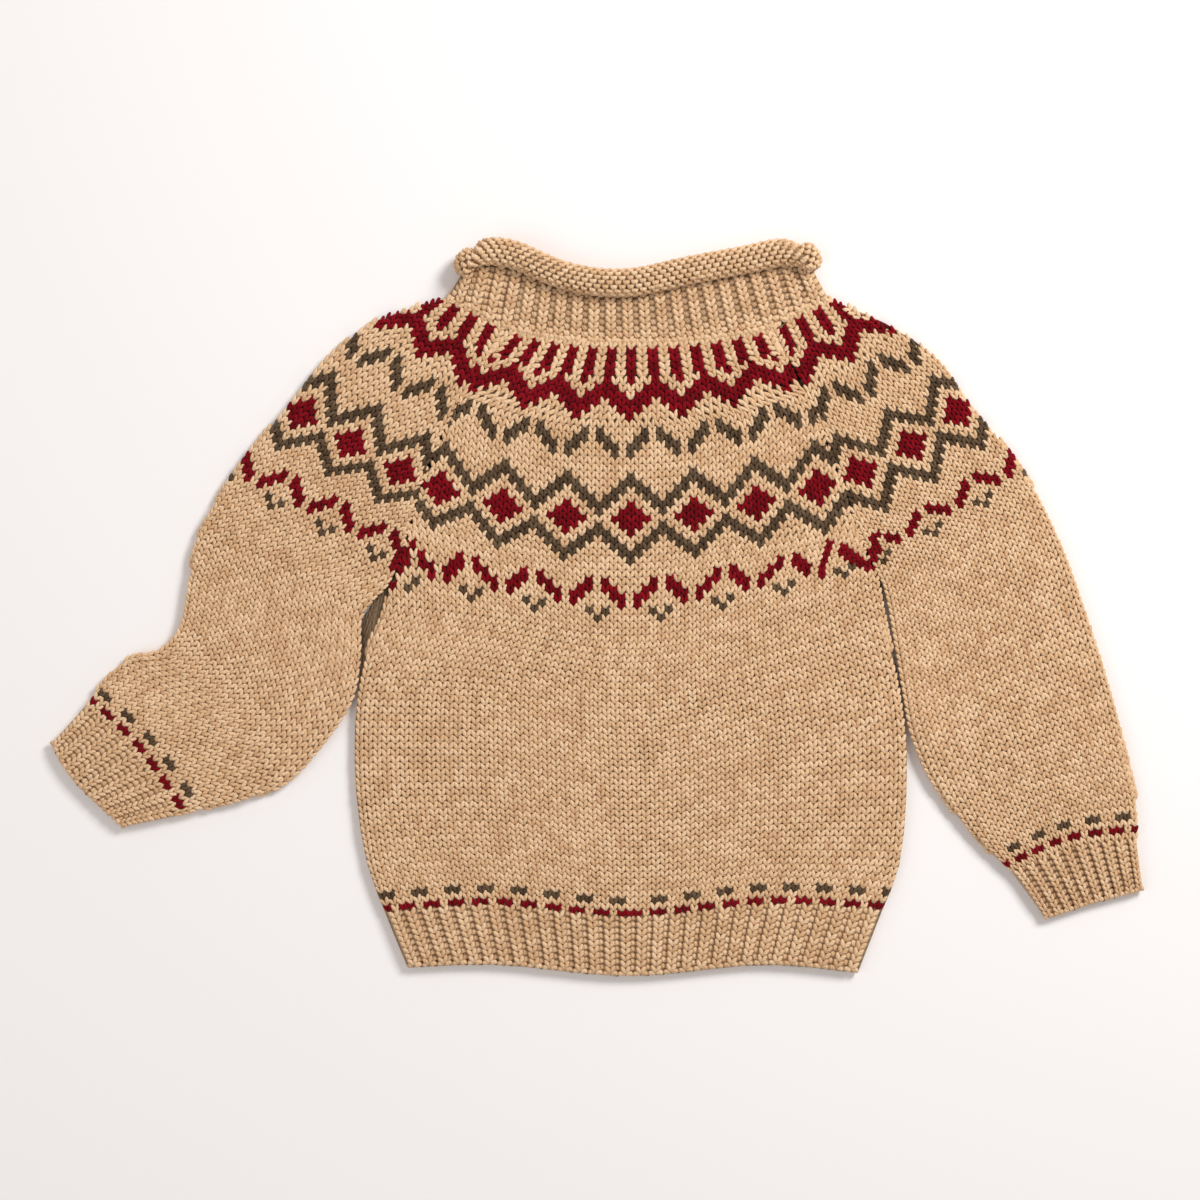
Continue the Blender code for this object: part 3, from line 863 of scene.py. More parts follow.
@dataclass(kw_only=True)
class Piece:
    """A cut-and-sewn piece: a thin closed cloth on its solid's form, and the stitches on it."""

    name: str  # its own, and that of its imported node
    slot: str
    flat: tuple[float, float]  # the size it is cut or knitted to, in metres
    area: float  # in square metres
    rests_on: str
    seed: int
    inset: float = 0.9  # mm that the cloth lies under the solid's face, behind the stitches
    rib_gap_shade: float = 0.7  # painted shade that makes gaps in ribs look deep, less as they lie open and let more light in
    surface_reach: float = 1.5  # mm up to which cloth rests on the surface and stays in place
    solid: Solid | None = None

    def knitting_at(self) -> Callable[[float, float], tuple[float, float]]:
        """Gives a function from a place in plan to its phase and course in the knitting."""
        raise NotImplementedError

    def parts(self) -> list[Part]:
        """Places the stitches, in parts that are each one mesh."""
        raise NotImplementedError

    def painted_gap_shade(self, course: float) -> float:
        """Says how much painted shade darkens the gaps between the stitches at a course."""
        return self.rib_gap_shade

    def on_surface(self, height: float, facing: float) -> bool:
        """Says whether cloth at this height, which looks up by this much, is on the surface."""
        return height < self.surface_reach and facing < LOOKS_DOWN

    def cloth(self, node: bpy.types.Object, material: bpy.types.Material) -> bpy.types.Object:
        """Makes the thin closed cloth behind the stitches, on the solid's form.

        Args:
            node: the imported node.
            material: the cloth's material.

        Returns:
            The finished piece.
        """
        mesh = bmesh.new()
        mesh.from_mesh(node.data)
        bmesh.ops.remove_doubles(mesh, verts=mesh.verts, dist=WELD * MM)
        mesh.normal_update()
        knitting = self.knitting_at()
        values, moved = [], []
        for v in mesh.verts:
            phase, course = knitting(v.co.x / MM, v.co.y / MM)
            # The third value is painted shade between the legs: full on faces that look up, none on
            # faces that look sideways.
            facing_up = min(max((v.normal.z - SIDEWAYS) / (UPWARDS - SIDEWAYS), 0.0), 1.0)
            values.extend((phase, course, self.painted_gap_shade(course) * facing_up))
            inset = 0.0 if self.on_surface(v.co.z / MM, v.normal.z) else self.inset
            moved.append(v.co - v.normal * (inset * MM))
        for v, co in zip(mesh.verts, moved):
            v.co = co
        data = bpy.data.meshes.new(self.name)
        mesh.to_mesh(data)
        mesh.free()
        data.shade_smooth()
        data.materials.clear()
        data.materials.append(material)
        data.attributes.new("knitting", "FLOAT_VECTOR", "POINT").data.foreach_set("vector", values)
        piece = put_in_scene(f"{self.name}_cloth", data)
        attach(piece, "root")
        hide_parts(self.name)
        log.info("%s: cloth of %d faces", self.name, len(data.polygons))
        return piece

    def build(
        self,
        frame: dict[str, Any],
        cloth: bpy.types.Material,
        yarns: dict[Yarn, bpy.types.Material],
    ) -> None:
        """Builds the cloth and its stitches.

        Args:
            cloth: the cloth's material.
            yarns: the material of each yarn.
        """
        node = frame["nodes"][self.name]
        self.solid = Solid(node)
        self.cloth(node, cloth)
        for k, (part, kind, sink, places) in enumerate(self.parts()):
            name = f"{self.name}_{part}"
            StitchField(name, self.slot, kind, sink, places, self.seed + k).build(yarns)


@dataclass(kw_only=True)
class KnittedPiece(Piece):
    """A piece knitted in courses: its rows in plan, and where the pattern's middle runs."""

    rows: list[tuple[float | None, list[Plan]]]  # (course, points), from the neck down
    guides: list[tuple[float, float, float, float, float]]  # (course, x, y, two repeats)
    # (course, share of the row before the pattern's middle, columns before it and after it)
    below: list[tuple[float, float, float, float]]
    rib_top: int  # first course of the ribs
    last: int  # last course of the ribs
    ribs: int
    joins: tuple[SeamJoin, ...] = ()
    depth: float = 1.0  # painted shade that makes the gaps between the stitches look deep
    slant: float = 4.0  # degrees that stitches turn one way and the other, from course to course
    courses: dict[int, Course] = field(default_factory=dict)
    lines: list[RowCurve] = field(init=False)
    marks: list[list[tuple[float, float]]] = field(init=False)

    def __post_init__(self) -> None:
        """Measures the piece down the lines that join its rows' points."""
        self.lines = [RowCurve(list(line)) for line in zip(*(points for _, points in self.rows))]
        self.marks = [
            [
                (row[0], line.marks[k * line.steps])
                for k, row in enumerate(self.rows) if row[0] is not None
            ]
            for line in self.lines
        ]

    def course(self, number: int) -> Course:
        """Lays out one course. Between the rows that have a number, courses are evenly deep.

        Args:
            number: its number.

        Returns:
            The course.
        """
        if number not in self.courses:
            curve = RowCurve([
                line.at(smooth_value(marks, number)) for line, marks in zip(self.lines, self.marks)
            ])
            if number < self.below[0][0]:
                x, y, *repeats = between(self.guides, number)
                middle = curve.nearest((x, y))
            else:
                share, *counts = between(self.below, number)
                middle = share * curve.length
                repeats = [
                    span / count * stitches_per_repeat(number)
                    for span, count in zip((middle, curve.length - middle), counts)
                ]
            self.courses[number] = Course(curve, middle, tuple(repeats))
        return self.courses[number]

    def rest(self, x: float, y: float, along: Plan) -> tuple[Vector, Vector] | None:
        """Lays a place on the solid's face.

        Args:
            x: the place's x.
            y: the place's y.
            along: one column's breadth along the row.

        Returns:
            The point and the way the face looks there, or None off the solid.
        """
        hit = self.solid.top(x, y)
        if hit is None:
            return None
        normal = hit[1].copy()
        for side in (-0.2, 0.2):  # of the way on both sides
            beside = self.solid.top(x + side * along[0], y + side * along[1])
            if beside:
                normal += beside[1]
        return Vector((x, y, hit[0])), normal.normalized()

    def stitch(
        self, number: int, phase: float, width: float, yarn: Yarn, turn: float = 0.0
    ) -> StitchPlace | None:
        """Places one stitch.

        Args:
            number: its course.
            phase: repeats from the pattern's middle.
            width: its column's width.
            yarn: the yarn that works it.
            turn: degrees that it is turned about its normal.

        Returns:
            Its place, or None off the solid.
        """
        x, y = self.course(number).at(phase)
        above, below = self.course(number - 1).at(phase), self.course(number + 1).at(phase)
        up = Vector((above[0] - below[0], above[1] - below[1], 0.0)) / 2
        if number == self.first:
            up *= 2  # the course above it is the neckline itself
        ahead = self.course(number).at(phase + AHEAD)
        along = (ahead[0] - x, ahead[1] - y)
        size = math.hypot(*along)
        rested = self.rest(x, y, (along[0] / size * width, along[1] / size * width))
        if rested is None or up.length < LEAST_COURSE:
            return None
        at, normal = rested
        height = min(up.length, MOST_COURSE)
        return StitchPlace(at, up.normalized(), normal, width, height, yarn, turn)

    @property
    def first(self) -> int:
        """The course nearest the neck."""
        return math.ceil(self.marks[0][0][0])

    def trim_yarn(self, column: int, number: int) -> Yarn:
        """Works the yoke's pattern. Pieces with a trim over their ribs add it."""
        return charted(column, number)

    def face_stitches(self, start: int, end: int) -> list[StitchPlace]:
        """Places the stitches of some courses over the whole width of the piece.

        Args:
            start: the first course.
            end: the course after the last.

        Returns:
            The stitches' places.
        """
        places = []
        spare, least_strip = 0.05, 0.3  # parts of a column: left over, and worked at the edge
        for number in range(start, end):
            course = self.course(number)
            count = stitches_per_repeat(number)
            slant = self.slant if number % 2 else -self.slant
            spans = (course.middle, course.curve.length - course.middle)
            columns: list[tuple[float, int]] = [(0.0, 0)]
            for side, (span, repeat) in zip((-1, 1), zip(spans, course.repeats)):
                fitting = span / repeat * count - 0.5
                whole = math.floor(fitting + spare)
                columns += [(side * k, side * k) for k in range(1, whole + 1)]
                strip = fitting - whole
                if strip > least_strip:
                    columns.append((side * (whole + 0.5 + strip / 2), side * (whole + 1)))
            for column, charted_column in columns:
                phase = column / count
                width = course.repeats[column > 0] / count
                distance = course.middle + phase * course.repeats[phase > 0]
                yarn = self.trim_yarn(charted_column, number)
                for join in self.joins:
                    if join.covers(number, distance, course.curve.length):
                        yarn = join.yarn
                place = self.stitch(number, phase, width, yarn, slant)
                if place:
                    places.append(place)
        return places

    def rib_stitches(self) -> tuple[list[StitchPlace], list[StitchPlace]]:
        """Places the ribs' stitches: knit columns on the crests, purl bumps between them.

        Returns:
            The knit stitches and the purl bumps.
        """
        knit, purl = [], []
        for number in range(self.rib_top, self.last + 1):
            course = self.course(number)
            pitch = course.curve.length / self.ribs
            margin = 0.25 * pitch
            for k in range(2 * self.ribs + 1):
                distance = k * pitch / 2
                if not margin < distance < course.curve.length - margin:
                    continue
                width = pitch * (CREST if k % 2 else HOLLOW)
                place = self.stitch(number, course.phase(distance), width, Yarn.CREAM)
                if place:
                    (knit if k % 2 else purl).append(place)
        return knit, purl

    def edge_stitches(self) -> list[StitchPlace]:
        """Places the loops of the cast-on edge, which look outwards round the edge.

        Returns:
            The loops' places, two for each rib.
        """
        places = []
        edge, above = self.course(self.last + 1), self.course(self.last)
        inwards, down, steepness, height = 0.7, 1.4, 0.9, 3.6  # onto the edge's round
        count = 2 * self.ribs
        width = edge.curve.length / count
        for k in range(count):
            phase = edge.phase((k + 0.5) * width)
            at = Vector(edge.at(phase))
            up = (Vector(above.at(phase)) - at).normalized()
            inside = at + up * inwards
            hit = self.solid.top(inside.x, inside.y)
            if hit:
                normal = Vector((-0.8 * up.x, -0.8 * up.y, 0.6))  # out and up
                place = Vector((inside.x, inside.y, hit[0] - down))
                up = Vector((up.x, up.y, steepness))
                places.append(StitchPlace(place, up, normal, width, height))
        return places

    def parts(self) -> list[Part]:
        """Places the stitches of the yoke, the plain knitting, the ribs and the cast-on edge.

        Returns:
            The parts.
        """
        knit, purl = self.rib_stitches()
        face, crest, hollow = 0.25, 0.0, 0.8  # mm that the stitches are sunk
        return [
            ("yoke_stitches", StitchKind.KNIT, face, self.face_stitches(self.first, BODY_START)),
            ("stitches", StitchKind.KNIT, face, self.face_stitches(BODY_START, self.rib_top)),
            ("rib_stitches", StitchKind.KNIT, crest, knit),
            ("rib_hollows", StitchKind.PURL, hollow, purl),
            ("cast_on", StitchKind.PURL, face, self.edge_stitches()),
        ]

    def painted_gap_shade(self, course: float) -> float:
        """Says how much painted shade darkens the gaps between the stitches at a course."""
        return self.depth if course < self.rib_top - 0.5 else self.rib_gap_shade

    def knitting_at(self) -> Callable[[float, float], tuple[float, float]]:
        """Maps the plan back onto the knitting.

        Returns:
            A function from a place to its phase and course.
        """
        samples = []
        density, ahead = 8, 0.1  # samples to a repeat, and the part of one to look ahead
        least = 0.1  # mm between courses, under which they give no direction
        for number in range(self.first, self.last + 1):
            course = self.course(number)
            below = self.course(min(number + 1, self.last))
            low, high = course.phase(0.0), course.phase(course.curve.length)
            count = max(2, int((high - low) * density))
            for k in range(count + 1):
                phase = low + (high - low) * k / count
                at = Vector(course.at(phase))
                across = (Vector(course.at(phase + ahead)) - at) / ahead
                down = Vector(below.at(phase)) - at
                if down.length > least:
                    samples.append((at, phase, number, across, down))
        tree = KDTree(len(samples))
        for k, sample in enumerate(samples):
            tree.insert((*sample[0], 0.0), k)
        tree.balance()

        def knitting(x: float, y: float) -> tuple[float, float]:
            """Reads the knitting at a place.

            Args:
                x: the place's x.
                y: the place's y.

            Returns:
                Its phase and course.
            """
            _, k, _ = tree.find((x, y, 0.0))
            at, phase, number, across, down = samples[k]
            away = Vector((x, y)) - at
            det = across.x * down.y - across.y * down.x
            return (
                phase + (away.x * down.y - away.y * down.x) / det,
                number + (across.x * away.y - across.y * away.x) / det,
            )

        return knitting


# Rounds of the yoke, from the neckline down: (course, left fold, left middle, left seam, left
# quarter, middle, right quarter, right seam, right middle, right fold).
YOKE_ROUNDS = (
    (-24.2, (-88, 179), (-70.5, 171), (-52, 160.5), (-18.5, 154), (18, 152.5), (58.5, 154),
     (99, 160.5), (117, 170.5), (134.5, 178.5)),
    (-14, (-129.5, 165), (-103, 146), (-75, 127), (-30.5, 113.5), (18, 109.5), (66.5, 114.5),
     (117.5, 129), (144.5, 142), (171, 160)),
    (-7, (-157.5, 143.5), (-122, 118.5), (-89.5, 99), (-37.5, 84), (18, 79.5), (74, 85.5),
     (130.5, 100), (162, 114.5), (199, 141)),
    (0, (-179, 116.5), (-140, 92.5), (-101, 71), (-42, 55.5), (18, 50.5), (80, 57),
     (141.5, 73), (178.5, 91.5), (214.5, 118)),
    (7.5, (-199.5, 93), (-152, 69), (-108.5, 44.5), (-46.5, 27.5), (18, 20.5), (83, 29),
     (152, 42), (190, 63.5), (235.5, 94.5)),
    (14.3, (-215.5, 71), (-165.5, 45), (-116, 20.5), (-50.5, 1.5), (18, -8.5), (87.5, 2.5),
     (160, 22.5), (199, 43.5), (250.5, 73.5)),
    (None, (-226, 52), (-172.5, 27), (-120, 13.5), (-53.5, -9), (18, -19.5), (88.5, -7.5),
     (163.5, 15), (209, 29.5), (260, 55)),
)


def yoke_rows(columns: Iterable[int]) -> list[tuple[float | None, list[Plan]]]:
    """Picks some columns of the yoke's rounds, as a piece's rows."""
    columns = list(columns)
    return [(row[0], [row[1 + k] for k in columns]) for row in YOKE_ROUNDS]


class Front(KnittedPiece):
    """The front: the body's upper layer and the front of the yoke."""

    MAROON_TRIM, OLIVE_TRIM = 60, 58

    @classmethod
    def knitted(cls) -> "Front":
        """Makes the front with its rows and sizes.

        Returns:
            The front.
        """
        # At the left seam the front's courses run lower than the sleeve's.
        rows = yoke_rows(range(2, 7))[:-2] + [
            (None, [(-116, 20.5), (-49.6, 5), (18, -4), (87, 7), (159.2, 24.5)]),
            (14.3, [(-120.6, 11.5), (-50.8, 0.5), (18, -8.5), (87.5, 2.5), (160, 22.5)]),
            (None, [(-122.4, 5), (-53.5, -9), (18, -19.5), (88.5, -7.5), (163.5, 15)]),
            (None, [(-125.5, -6), (-55.5, -27.5), (18, -37.5), (94.5, -25.5), (166.8, -5)]),
            (None, [(-135.8, -32), (-57.5, -46), (18, -55.5), (96.5, -45), (172, -32)]),
            (None, [(-139.8, -68.5), (-61, -79.5), (18, -86.5), (99, -79.5), (178, -68.5)]),
            (None, [(-139, -109), (-62, -113.5), (18, -120), (99, -113.5), (178.5, -109)]),
            (None, [(-133, -148), (-61, -148), (18, -156), (99, -148), (174.5, -149)]),
            (61.0, [(-122, -178), (-59.5, -174), (18, -181), (97.5, -173.5), (164, -177)]),
            (70.0, [(-109.5, -208.5), (-56.5, -207), (18, -213.5), (94.5, -207), (150.5, -211.5)]),
        ]
        guides = [
            (-24, 19.5, 152, 21.2, 24.2), (-20, 19.5, 135, 25.2, 26.4),
            (-19, 19.5, 131, 27.4, 28.4), (-14, 18.4, 109.5, 31.0, 31.0),
            (-13, 18.5, 105, 34.0, 34.0), (-10, 19.0, 92, 35.8, 35.8),
            (0, 19.5, 50.5, 37.3, 36.5), (6, 19.0, 27, 38.8, 38.0),
            (12, 18.5, 1, 37.0, 36.2), (17, 18.6, -19.5, 36.8, 36.6),
        ]
        below = [(17.5, 0.489, 31.1, 32.6), (30, 0.492, 30.5, 31.5)]
        joins = (
            SeamJoin(Yarn.CREAM, 0, 0, 9.5, 8, 10), SeamJoin(Yarn.CREAM, 0, 0, 5, 11, 15),
            SeamJoin(Yarn.MAROON, 0, 0, 4.4, 9, 11, 1.6), SeamJoin(Yarn.MAROON, 0, 0, 2.6, 12, 14),
            SeamJoin(Yarn.CREAM, 1, 0, 25, 8, 12), SeamJoin(Yarn.MAROON, 1, 26.5, 6.5, 8, 13, -1.9),
            SeamJoin(Yarn.MAROON, 1, -1.5, 8.5, 9, 14, 1.9),
        )
        return cls(
            name="front", slot="knit_front", rows=rows, guides=guides, below=below, joins=joins,
            rib_top=61, last=69, ribs=30, flat=(0.322, 0.372), area=0.1015,
            rests_on="back_cloth", seed=11,
        )

    def trim_yarn(self, column: int, number: int) -> Yarn:
        """Works the trim over the hem, mirrored at the middle: two maroon stitches of every
        three, and two olive-brown of every four.

        Args:
            column: the column, from the pattern's middle.
            number: the course.

        Returns:
            The yarn.
        """
        if number == self.MAROON_TRIM:
            return Yarn.CREAM if abs(column) % 3 == 2 else Yarn.MAROON
        if number == self.OLIVE_TRIM:
            return Yarn.OLIVE if (column - (column > 0)) % 4 >= 2 else Yarn.CREAM
        return super().trim_yarn(column, number)


@dataclass(kw_only=True)
class Sleeve(KnittedPiece):
    """A sleeve folded flat along its top edge."""

    slot: str = "knit_sleeves"
    rests_on: str = "floor"
    # Painted shade between the stitches, lighter on the sleeves than on the body.
    depth: float = 0.85
    olive_shift: int  # columns that the olive dashes of its trim lie to the left

    def trim_yarn(self, column: int, number: int) -> Yarn:
        """Works the trim over the cuff: two maroon stitches of every three, and two olive-brown
        of every four.

        Args:
            column: the column, from the pattern's middle.
            number: the course.

        Returns:
            The yarn.
        """
        if number == self.rib_top - 2:
            return Yarn.CREAM if column % 3 == 2 else Yarn.MAROON
        if number == self.rib_top - 4:
            return Yarn.OLIVE if (column + self.olive_shift) % 4 >= 2 else Yarn.CREAM
        return super().trim_yarn(column, number)


def left_sleeve() -> Sleeve:
    """Makes the left sleeve with its rows and sizes.

    Returns:
        The sleeve.
    """
    rows = yoke_rows((2, 1, 0)) + [
        (None, [(-135.5, -5), (-177.5, 15.5), (-230.5, 43.5)]),
        (None, [(-137, -30), (-182.5, 1), (-234.5, 31)]),
        (None, [(-141.5, -55), (-188.5, -22), (-237.5, 9.5)]),
        (None, [(-159.5, -82), (-198.5, -42.5), (-242.5, -12.5)]),
        (None, [(-179.5, -102.5), (-215.5, -57.5), (-256, -25.5)]),
        (None, [(-202, -111.5), (-236, -67), (-270.5, -29)]),
        (None, [(-226.5, -117), (-253, -76), (-282.5, -39)]),
        (59.9, [(-245, -122), (-270.5, -85), (-297.5, -57.5)]),
        (69.0, [(-274.5, -128), (-304, -99.5), (-316.5, -78.5)]),
    ]
    guides = [
        (-24, -80, 175, 22.2, 22.2), (-20, -90, 163, 26.0, 26.0), (-19, -92, 160, 27.5, 27.5),
        (-14, -105.2, 142.5, 28.8, 28.8), (-13, -108, 139, 30.5, 30.5), (-7, -124, 118, 32.5, 32.5),
        (0, -142.6, 94.4, 33.0, 33.0), (10.5, -167.8, 59.6, 32.2, 32.2), (17, -184, 33, 34.0, 34.0),
    ]
    below = [(17.5, 0.587, 15.3, 10.8), (30, 0.63, 15.5, 8.6), (44, 0.63, 15.5, 8.6),
             (57, 0.668, 13.5, 6.7)]
    return Sleeve(
        name="sleeve_left", rows=rows, guides=guides, below=below, rib_top=60, last=68, ribs=9,
        flat=(0.24, 0.37), area=0.0665, seed=31, olive_shift=1,
        joins=(SeamJoin(Yarn.MAROON, 0, 0, 4, 12, 14),),
    )


def right_sleeve() -> Sleeve:
    """Makes the right sleeve with its rows and sizes.

    Returns:
        The sleeve.
    """
    rows = yoke_rows((6, 7, 8)) + [
        (None, [(168, -2), (216, 11), (269.5, 34)]),
        (None, [(171.8, -22), (223.5, -9), (278, 11)]),
        (None, [(176.3, -49.5), (229.5, -35.5), (287.5, -17)]),
        (None, [(181, -74.5), (238, -61.5), (296, -44.5)]),
        (None, [(192, -100.5), (248, -84.5), (303, -70.5)]),
        (None, [(207.5, -121), (257.5, -103.5), (308.5, -93.5)]),
        (None, [(222.5, -138), (266.5, -121), (312.5, -114)]),
        (65.9, [(240, -154.5), (275.5, -140), (313, -135.5)]),
        (75.0, [(259, -181), (286, -172), (316.5, -164)]),
    ]
    guides = [
        (-24, 125, 174.5, 22.0, 22.0), (-20, 133, 162, 24.5, 24.5), (-19, 135, 159, 26.5, 26.5),
        (-14, 150.2, 138, 29.0, 29.0), (-13, 152, 135, 30.5, 30.5), (-10, 156.5, 126, 31.5, 31.5),
        (-7, 165.5, 115, 32.5, 32.5),
        (0, 181.4, 93.5, 33.3, 33.3), (10.5, 204.3, 60.1, 33.0, 33.0), (17, 220, 34, 34.5, 34.5),
    ]
    below = [(17.5, 0.564, 13.7, 10.6), (28, 0.577, 13.5, 10.5), (48, 0.583, 13.5, 10.5),
             (64, 0.51, 11.5, 9.5)]
    joins = (
        SeamJoin(Yarn.CREAM, 0, 0, 10.5, 8, 12), SeamJoin(Yarn.MAROON, 0, 0, 6, 9, 13, 0.9),
    )
    return Sleeve(
        name="sleeve_right", rows=rows, guides=guides, below=below, rib_top=66, last=74, ribs=10,
        flat=(0.24, 0.39), area=0.0705, seed=51, olive_shift=-1, joins=joins,
    )


class Back(KnittedPiece):
    """The back, which lies on the surface under the front and shows only its edges."""

    @classmethod
    def knitted(cls) -> "Back":
        """Makes the back with the front's rows.

        Returns:
            The back.
        """
        front = Front.knitted()
        return cls(
            name="back", slot="knit_back", rows=front.rows, guides=front.guides, below=front.below,
            rib_top=61, last=69, ribs=30, flat=front.flat, area=front.area, rests_on="floor",
            # Darker painted shade than the front's: a painted shadow where the back's edges lie
            # under the front and the sleeves.
            seed=71, inset=-0.5, depth=1.08,
        )

    def parts(self) -> list[Part]:
        """The back's stitches are in its cloth's own relief, so it has no parts."""
        return []


@dataclass(kw_only=True)
class Neckband(Piece):
    """The ribbed neckband, flattened, and its plain edge, which rolls outwards."""

    name: str = "neckband"
    slot: str = "rib_neckband"
    flat: tuple[float, float] = (0.44, 0.06)
    area: float = 0.0255
    rests_on: str = "floor"
    seed: int = 91
    surface_reach: float = 0.6
    ribs: int = 22
    wall: float = 2.8
    neckline_slack: float = 0.45
    roll_slack: float = 0.15
    roll_height: float = 6.05
    reach: float = 7.6  # half the rolled edge's breadth
    roll_front: float = 6.0  # half its height, facing up, out and down
    roll_side: float = 4.3
    roll_back: float = 2.95
    course: float = 3.8
    rib_start: float = 1.6  # from the neckline to the first stitch of a rib
    rib_tuck: float = 1.5  # that the ribs run on under the roll
    purl_pitch: float = 2.75  # between rows of purl bumps round the roll
    purl_column: float = 4.9
    end_columns: int = 6  # round each end of the roll, from the front to the back
    end_least: float = 1.6  # the narrowest bump there
    end_breadth: float = 1.15  # of a bump there, for the room it has
    bump_breadth: float = 0.78  # of a bump, for its column's
    bump_height: float = 1.05  # of a bump, for its row's: it overlaps the next a little
    bumps_start: float = 35.0  # degrees round the roll where its bumps start
    bumps_end: tuple[float, float] = (285.0, 150.0)  # and end, on the front and on the back
    pressed: float = 1.4  # least height of a bump's middle, where the surface presses it up
    repeat: float = 37.0  # of the cloth's columns, along the neckline
    foot_course: float = 30.0  # the plain course of the chart that the cloth starts at
    neckline: RowCurve = field(init=False)
    roll_line: RowCurve = field(init=False)

    def __post_init__(self) -> None:
        """Lays out the neckline and the line under the roll."""
        self.neckline = RowCurve(list(YOKE_ROUNDS[0][1:]))
        self.roll_line = RowCurve([
            (-74, 194.5), (-67.5, 203.5), (-49.5, 203), (-16.5, 190), (17, 186.5), (52.5, 193.5),
            (84, 199.5), (108, 204), (122, 199),
        ])

    def plan(self, share: float, rise: float) -> Vector:
        """Finds a place of the band in plan.

        Args:
            share: how far along the band, from the left fold to the right.
            rise: how far from the neckline to the roll's line.

        Returns:
            The place.
        """
        ends = []
        slacks = (self.neckline_slack, self.roll_slack)
        for curve, slack in zip((self.neckline, self.roll_line), slacks):
            margin = self.wall + slack
            ends.append(Vector(curve.at(margin + share * (curve.length - 2 * margin))))
        return ends[0].lerp(ends[1], rise)

    def rib_places(self) -> tuple[list[StitchPlace], list[StitchPlace]]:
        """Places the ribs' stitches, as far as the roll leaves them bare.

        Returns:
            The knit stitches and the purl bumps.
        """
        knit, purl = [], []
        near = 0.01  # share of the band on each side, over which a rib's breadth is measured
        for k in range(2 * self.ribs + 1):
            share = k / (2 * self.ribs)
            foot, head = self.plan(share, 0.0), self.plan(share, 1.0)
            length = (head - foot).length
            up = ((head - foot) / length).to_3d()
            after, before = min(share + near, 1.0), max(share - near, 0.0)
            ahead = self.plan(after, 0.5) - self.plan(before, 0.5)
            pitch = ahead.length / (after - before) / self.ribs
            width = pitch * (CREST if k % 2 else HOLLOW)
            for step in range(int((length - self.reach + self.rib_tuck) / self.course) + 1):
                at = self.plan(share, (self.rib_start + step * self.course) / length)
                hit = self.solid.top(at.x, at.y)
                if hit is None:
                    continue
                normal = (hit[1] + Vector((0, 0, 1.0))).normalized()
                place = StitchPlace(Vector((at.x, at.y, hit[0])), up, normal, width, self.course)
                if k % 2 == 0:  # the hollows' bumps bow down, towards the yoke
                    place = replace(place, turn=180.0)
                (knit if k % 2 else purl).append(place)
        return knit, purl

    def roll_point(self, share: float, lean: float, angle: float) -> tuple[Vector, Vector, Vector]:
        """Finds a point on the rolled edge.

        Args:
            share: how far along the band.
            lean: 90 degrees on the front, 0 at a fold and -90 on the back.
            angle: degrees round the roll, from the inside of the neck.

        Returns:
            The point, the way the roll faces there and the way round it.
        """
        foot, head = self.plan(share, 0.0), self.plan(share, 1.0)
        up = (head - foot).normalized().to_3d()
        side = 1.0 if share > 0.5 else -1.0
        level = math.cos(math.radians(lean)) * side
        rise = math.sin(math.radians(lean))
        facing = Vector((level * up.y, -level * up.x, rise))
        half = self.roll_side + rise * (self.roll_front - self.roll_side)
        if rise < 0:
            half = self.roll_side - rise * (self.roll_back - self.roll_side)
        sin, cos = math.sin(math.radians(angle)), math.cos(math.radians(angle))
        seat = Vector((head.x, head.y, self.roll_height))
        at = seat + facing * (self.roll_slack + half * (1 - cos)) + up * (self.reach * sin)
        normal = (facing * (-cos * self.reach) + up * (sin * half)).normalized()
        around = (facing * (sin * half) + up * (cos * self.reach)).normalized()
        return at, normal, around

    def roll_places(self) -> list[StitchPlace]:
        """Places the purl bumps all over the rolled edge.

        Returns:
            Their places, in rows round the roll, every second row half a column on.
        """
        places = []
        columns = round(self.roll_line.length / self.purl_column)
        step = 180.0 / self.end_columns
        for lean, half, end in zip(
            (90.0, -90.0), (self.roll_front, self.roll_back), self.bumps_end
        ):
            angle, row = self.bumps_start, 0
            while angle < end:
                odd = row % 2
                sin, cos = math.sin(math.radians(angle)), math.cos(math.radians(angle))
                spots = [
                    ((k + 0.5 * odd) / columns, lean, self.purl_column) for k in range(columns)
                ]
                if not odd:
                    spots.append((1.0, lean, self.purl_column))
                if lean > 0:
                    # Round both ends the columns draw together as the roll turns in.
                    away = self.roll_slack + self.roll_side * (1 - cos)
                    width = min(away * math.radians(step) * self.end_breadth, self.purl_column)
                    spots += [
                        (share, lean - (k - 0.5 * odd) * step, max(width, self.end_least))
                        for k in range(1, self.end_columns + odd)
                        for share in (0.0, 1.0)
                    ]
                for share, leaning, width in spots:
                    at, normal, around = self.roll_point(share, leaning, angle)
                    at.z = max(at.z, self.pressed)
                    width, height = width * self.bump_breadth, self.purl_pitch * self.bump_height
                    places.append(StitchPlace(at, around, normal, width, height))
                angle += math.degrees(self.purl_pitch / math.hypot(sin * half, cos * self.reach))
                row += 1
        return places

    def linking_places(self) -> list[StitchPlace]:
        """Places the chain that links the band to the yoke.

        Returns:
            The loops' places, along the neckline.
        """
        places = []
        rise, near, lift = 0.012, 0.005, 0.2  # shares of the way up and along, and mm over it
        width, height, slant = 4.0, 3.3, 10.0
        count = round(self.neckline.length / self.purl_column)
        for k in range(count):
            share = (k + 0.5) / count
            at = self.plan(share, rise)
            foot, head = self.plan(share, 0.0), self.plan(share, 1.0)
            hit = self.solid.top(at.x, at.y)
            if hit is None:
                continue
            up = (head - foot).normalized().to_3d()
            along = (self.plan(share + near, 0.0) - foot).normalized().to_3d()
            normal = along.cross(up).normalized()
            at = Vector((at.x, at.y, hit[0] + lift))
            turn = slant if k % 2 else -slant
            places.append(StitchPlace(at, up, normal, width, height, turn=turn))
        return places

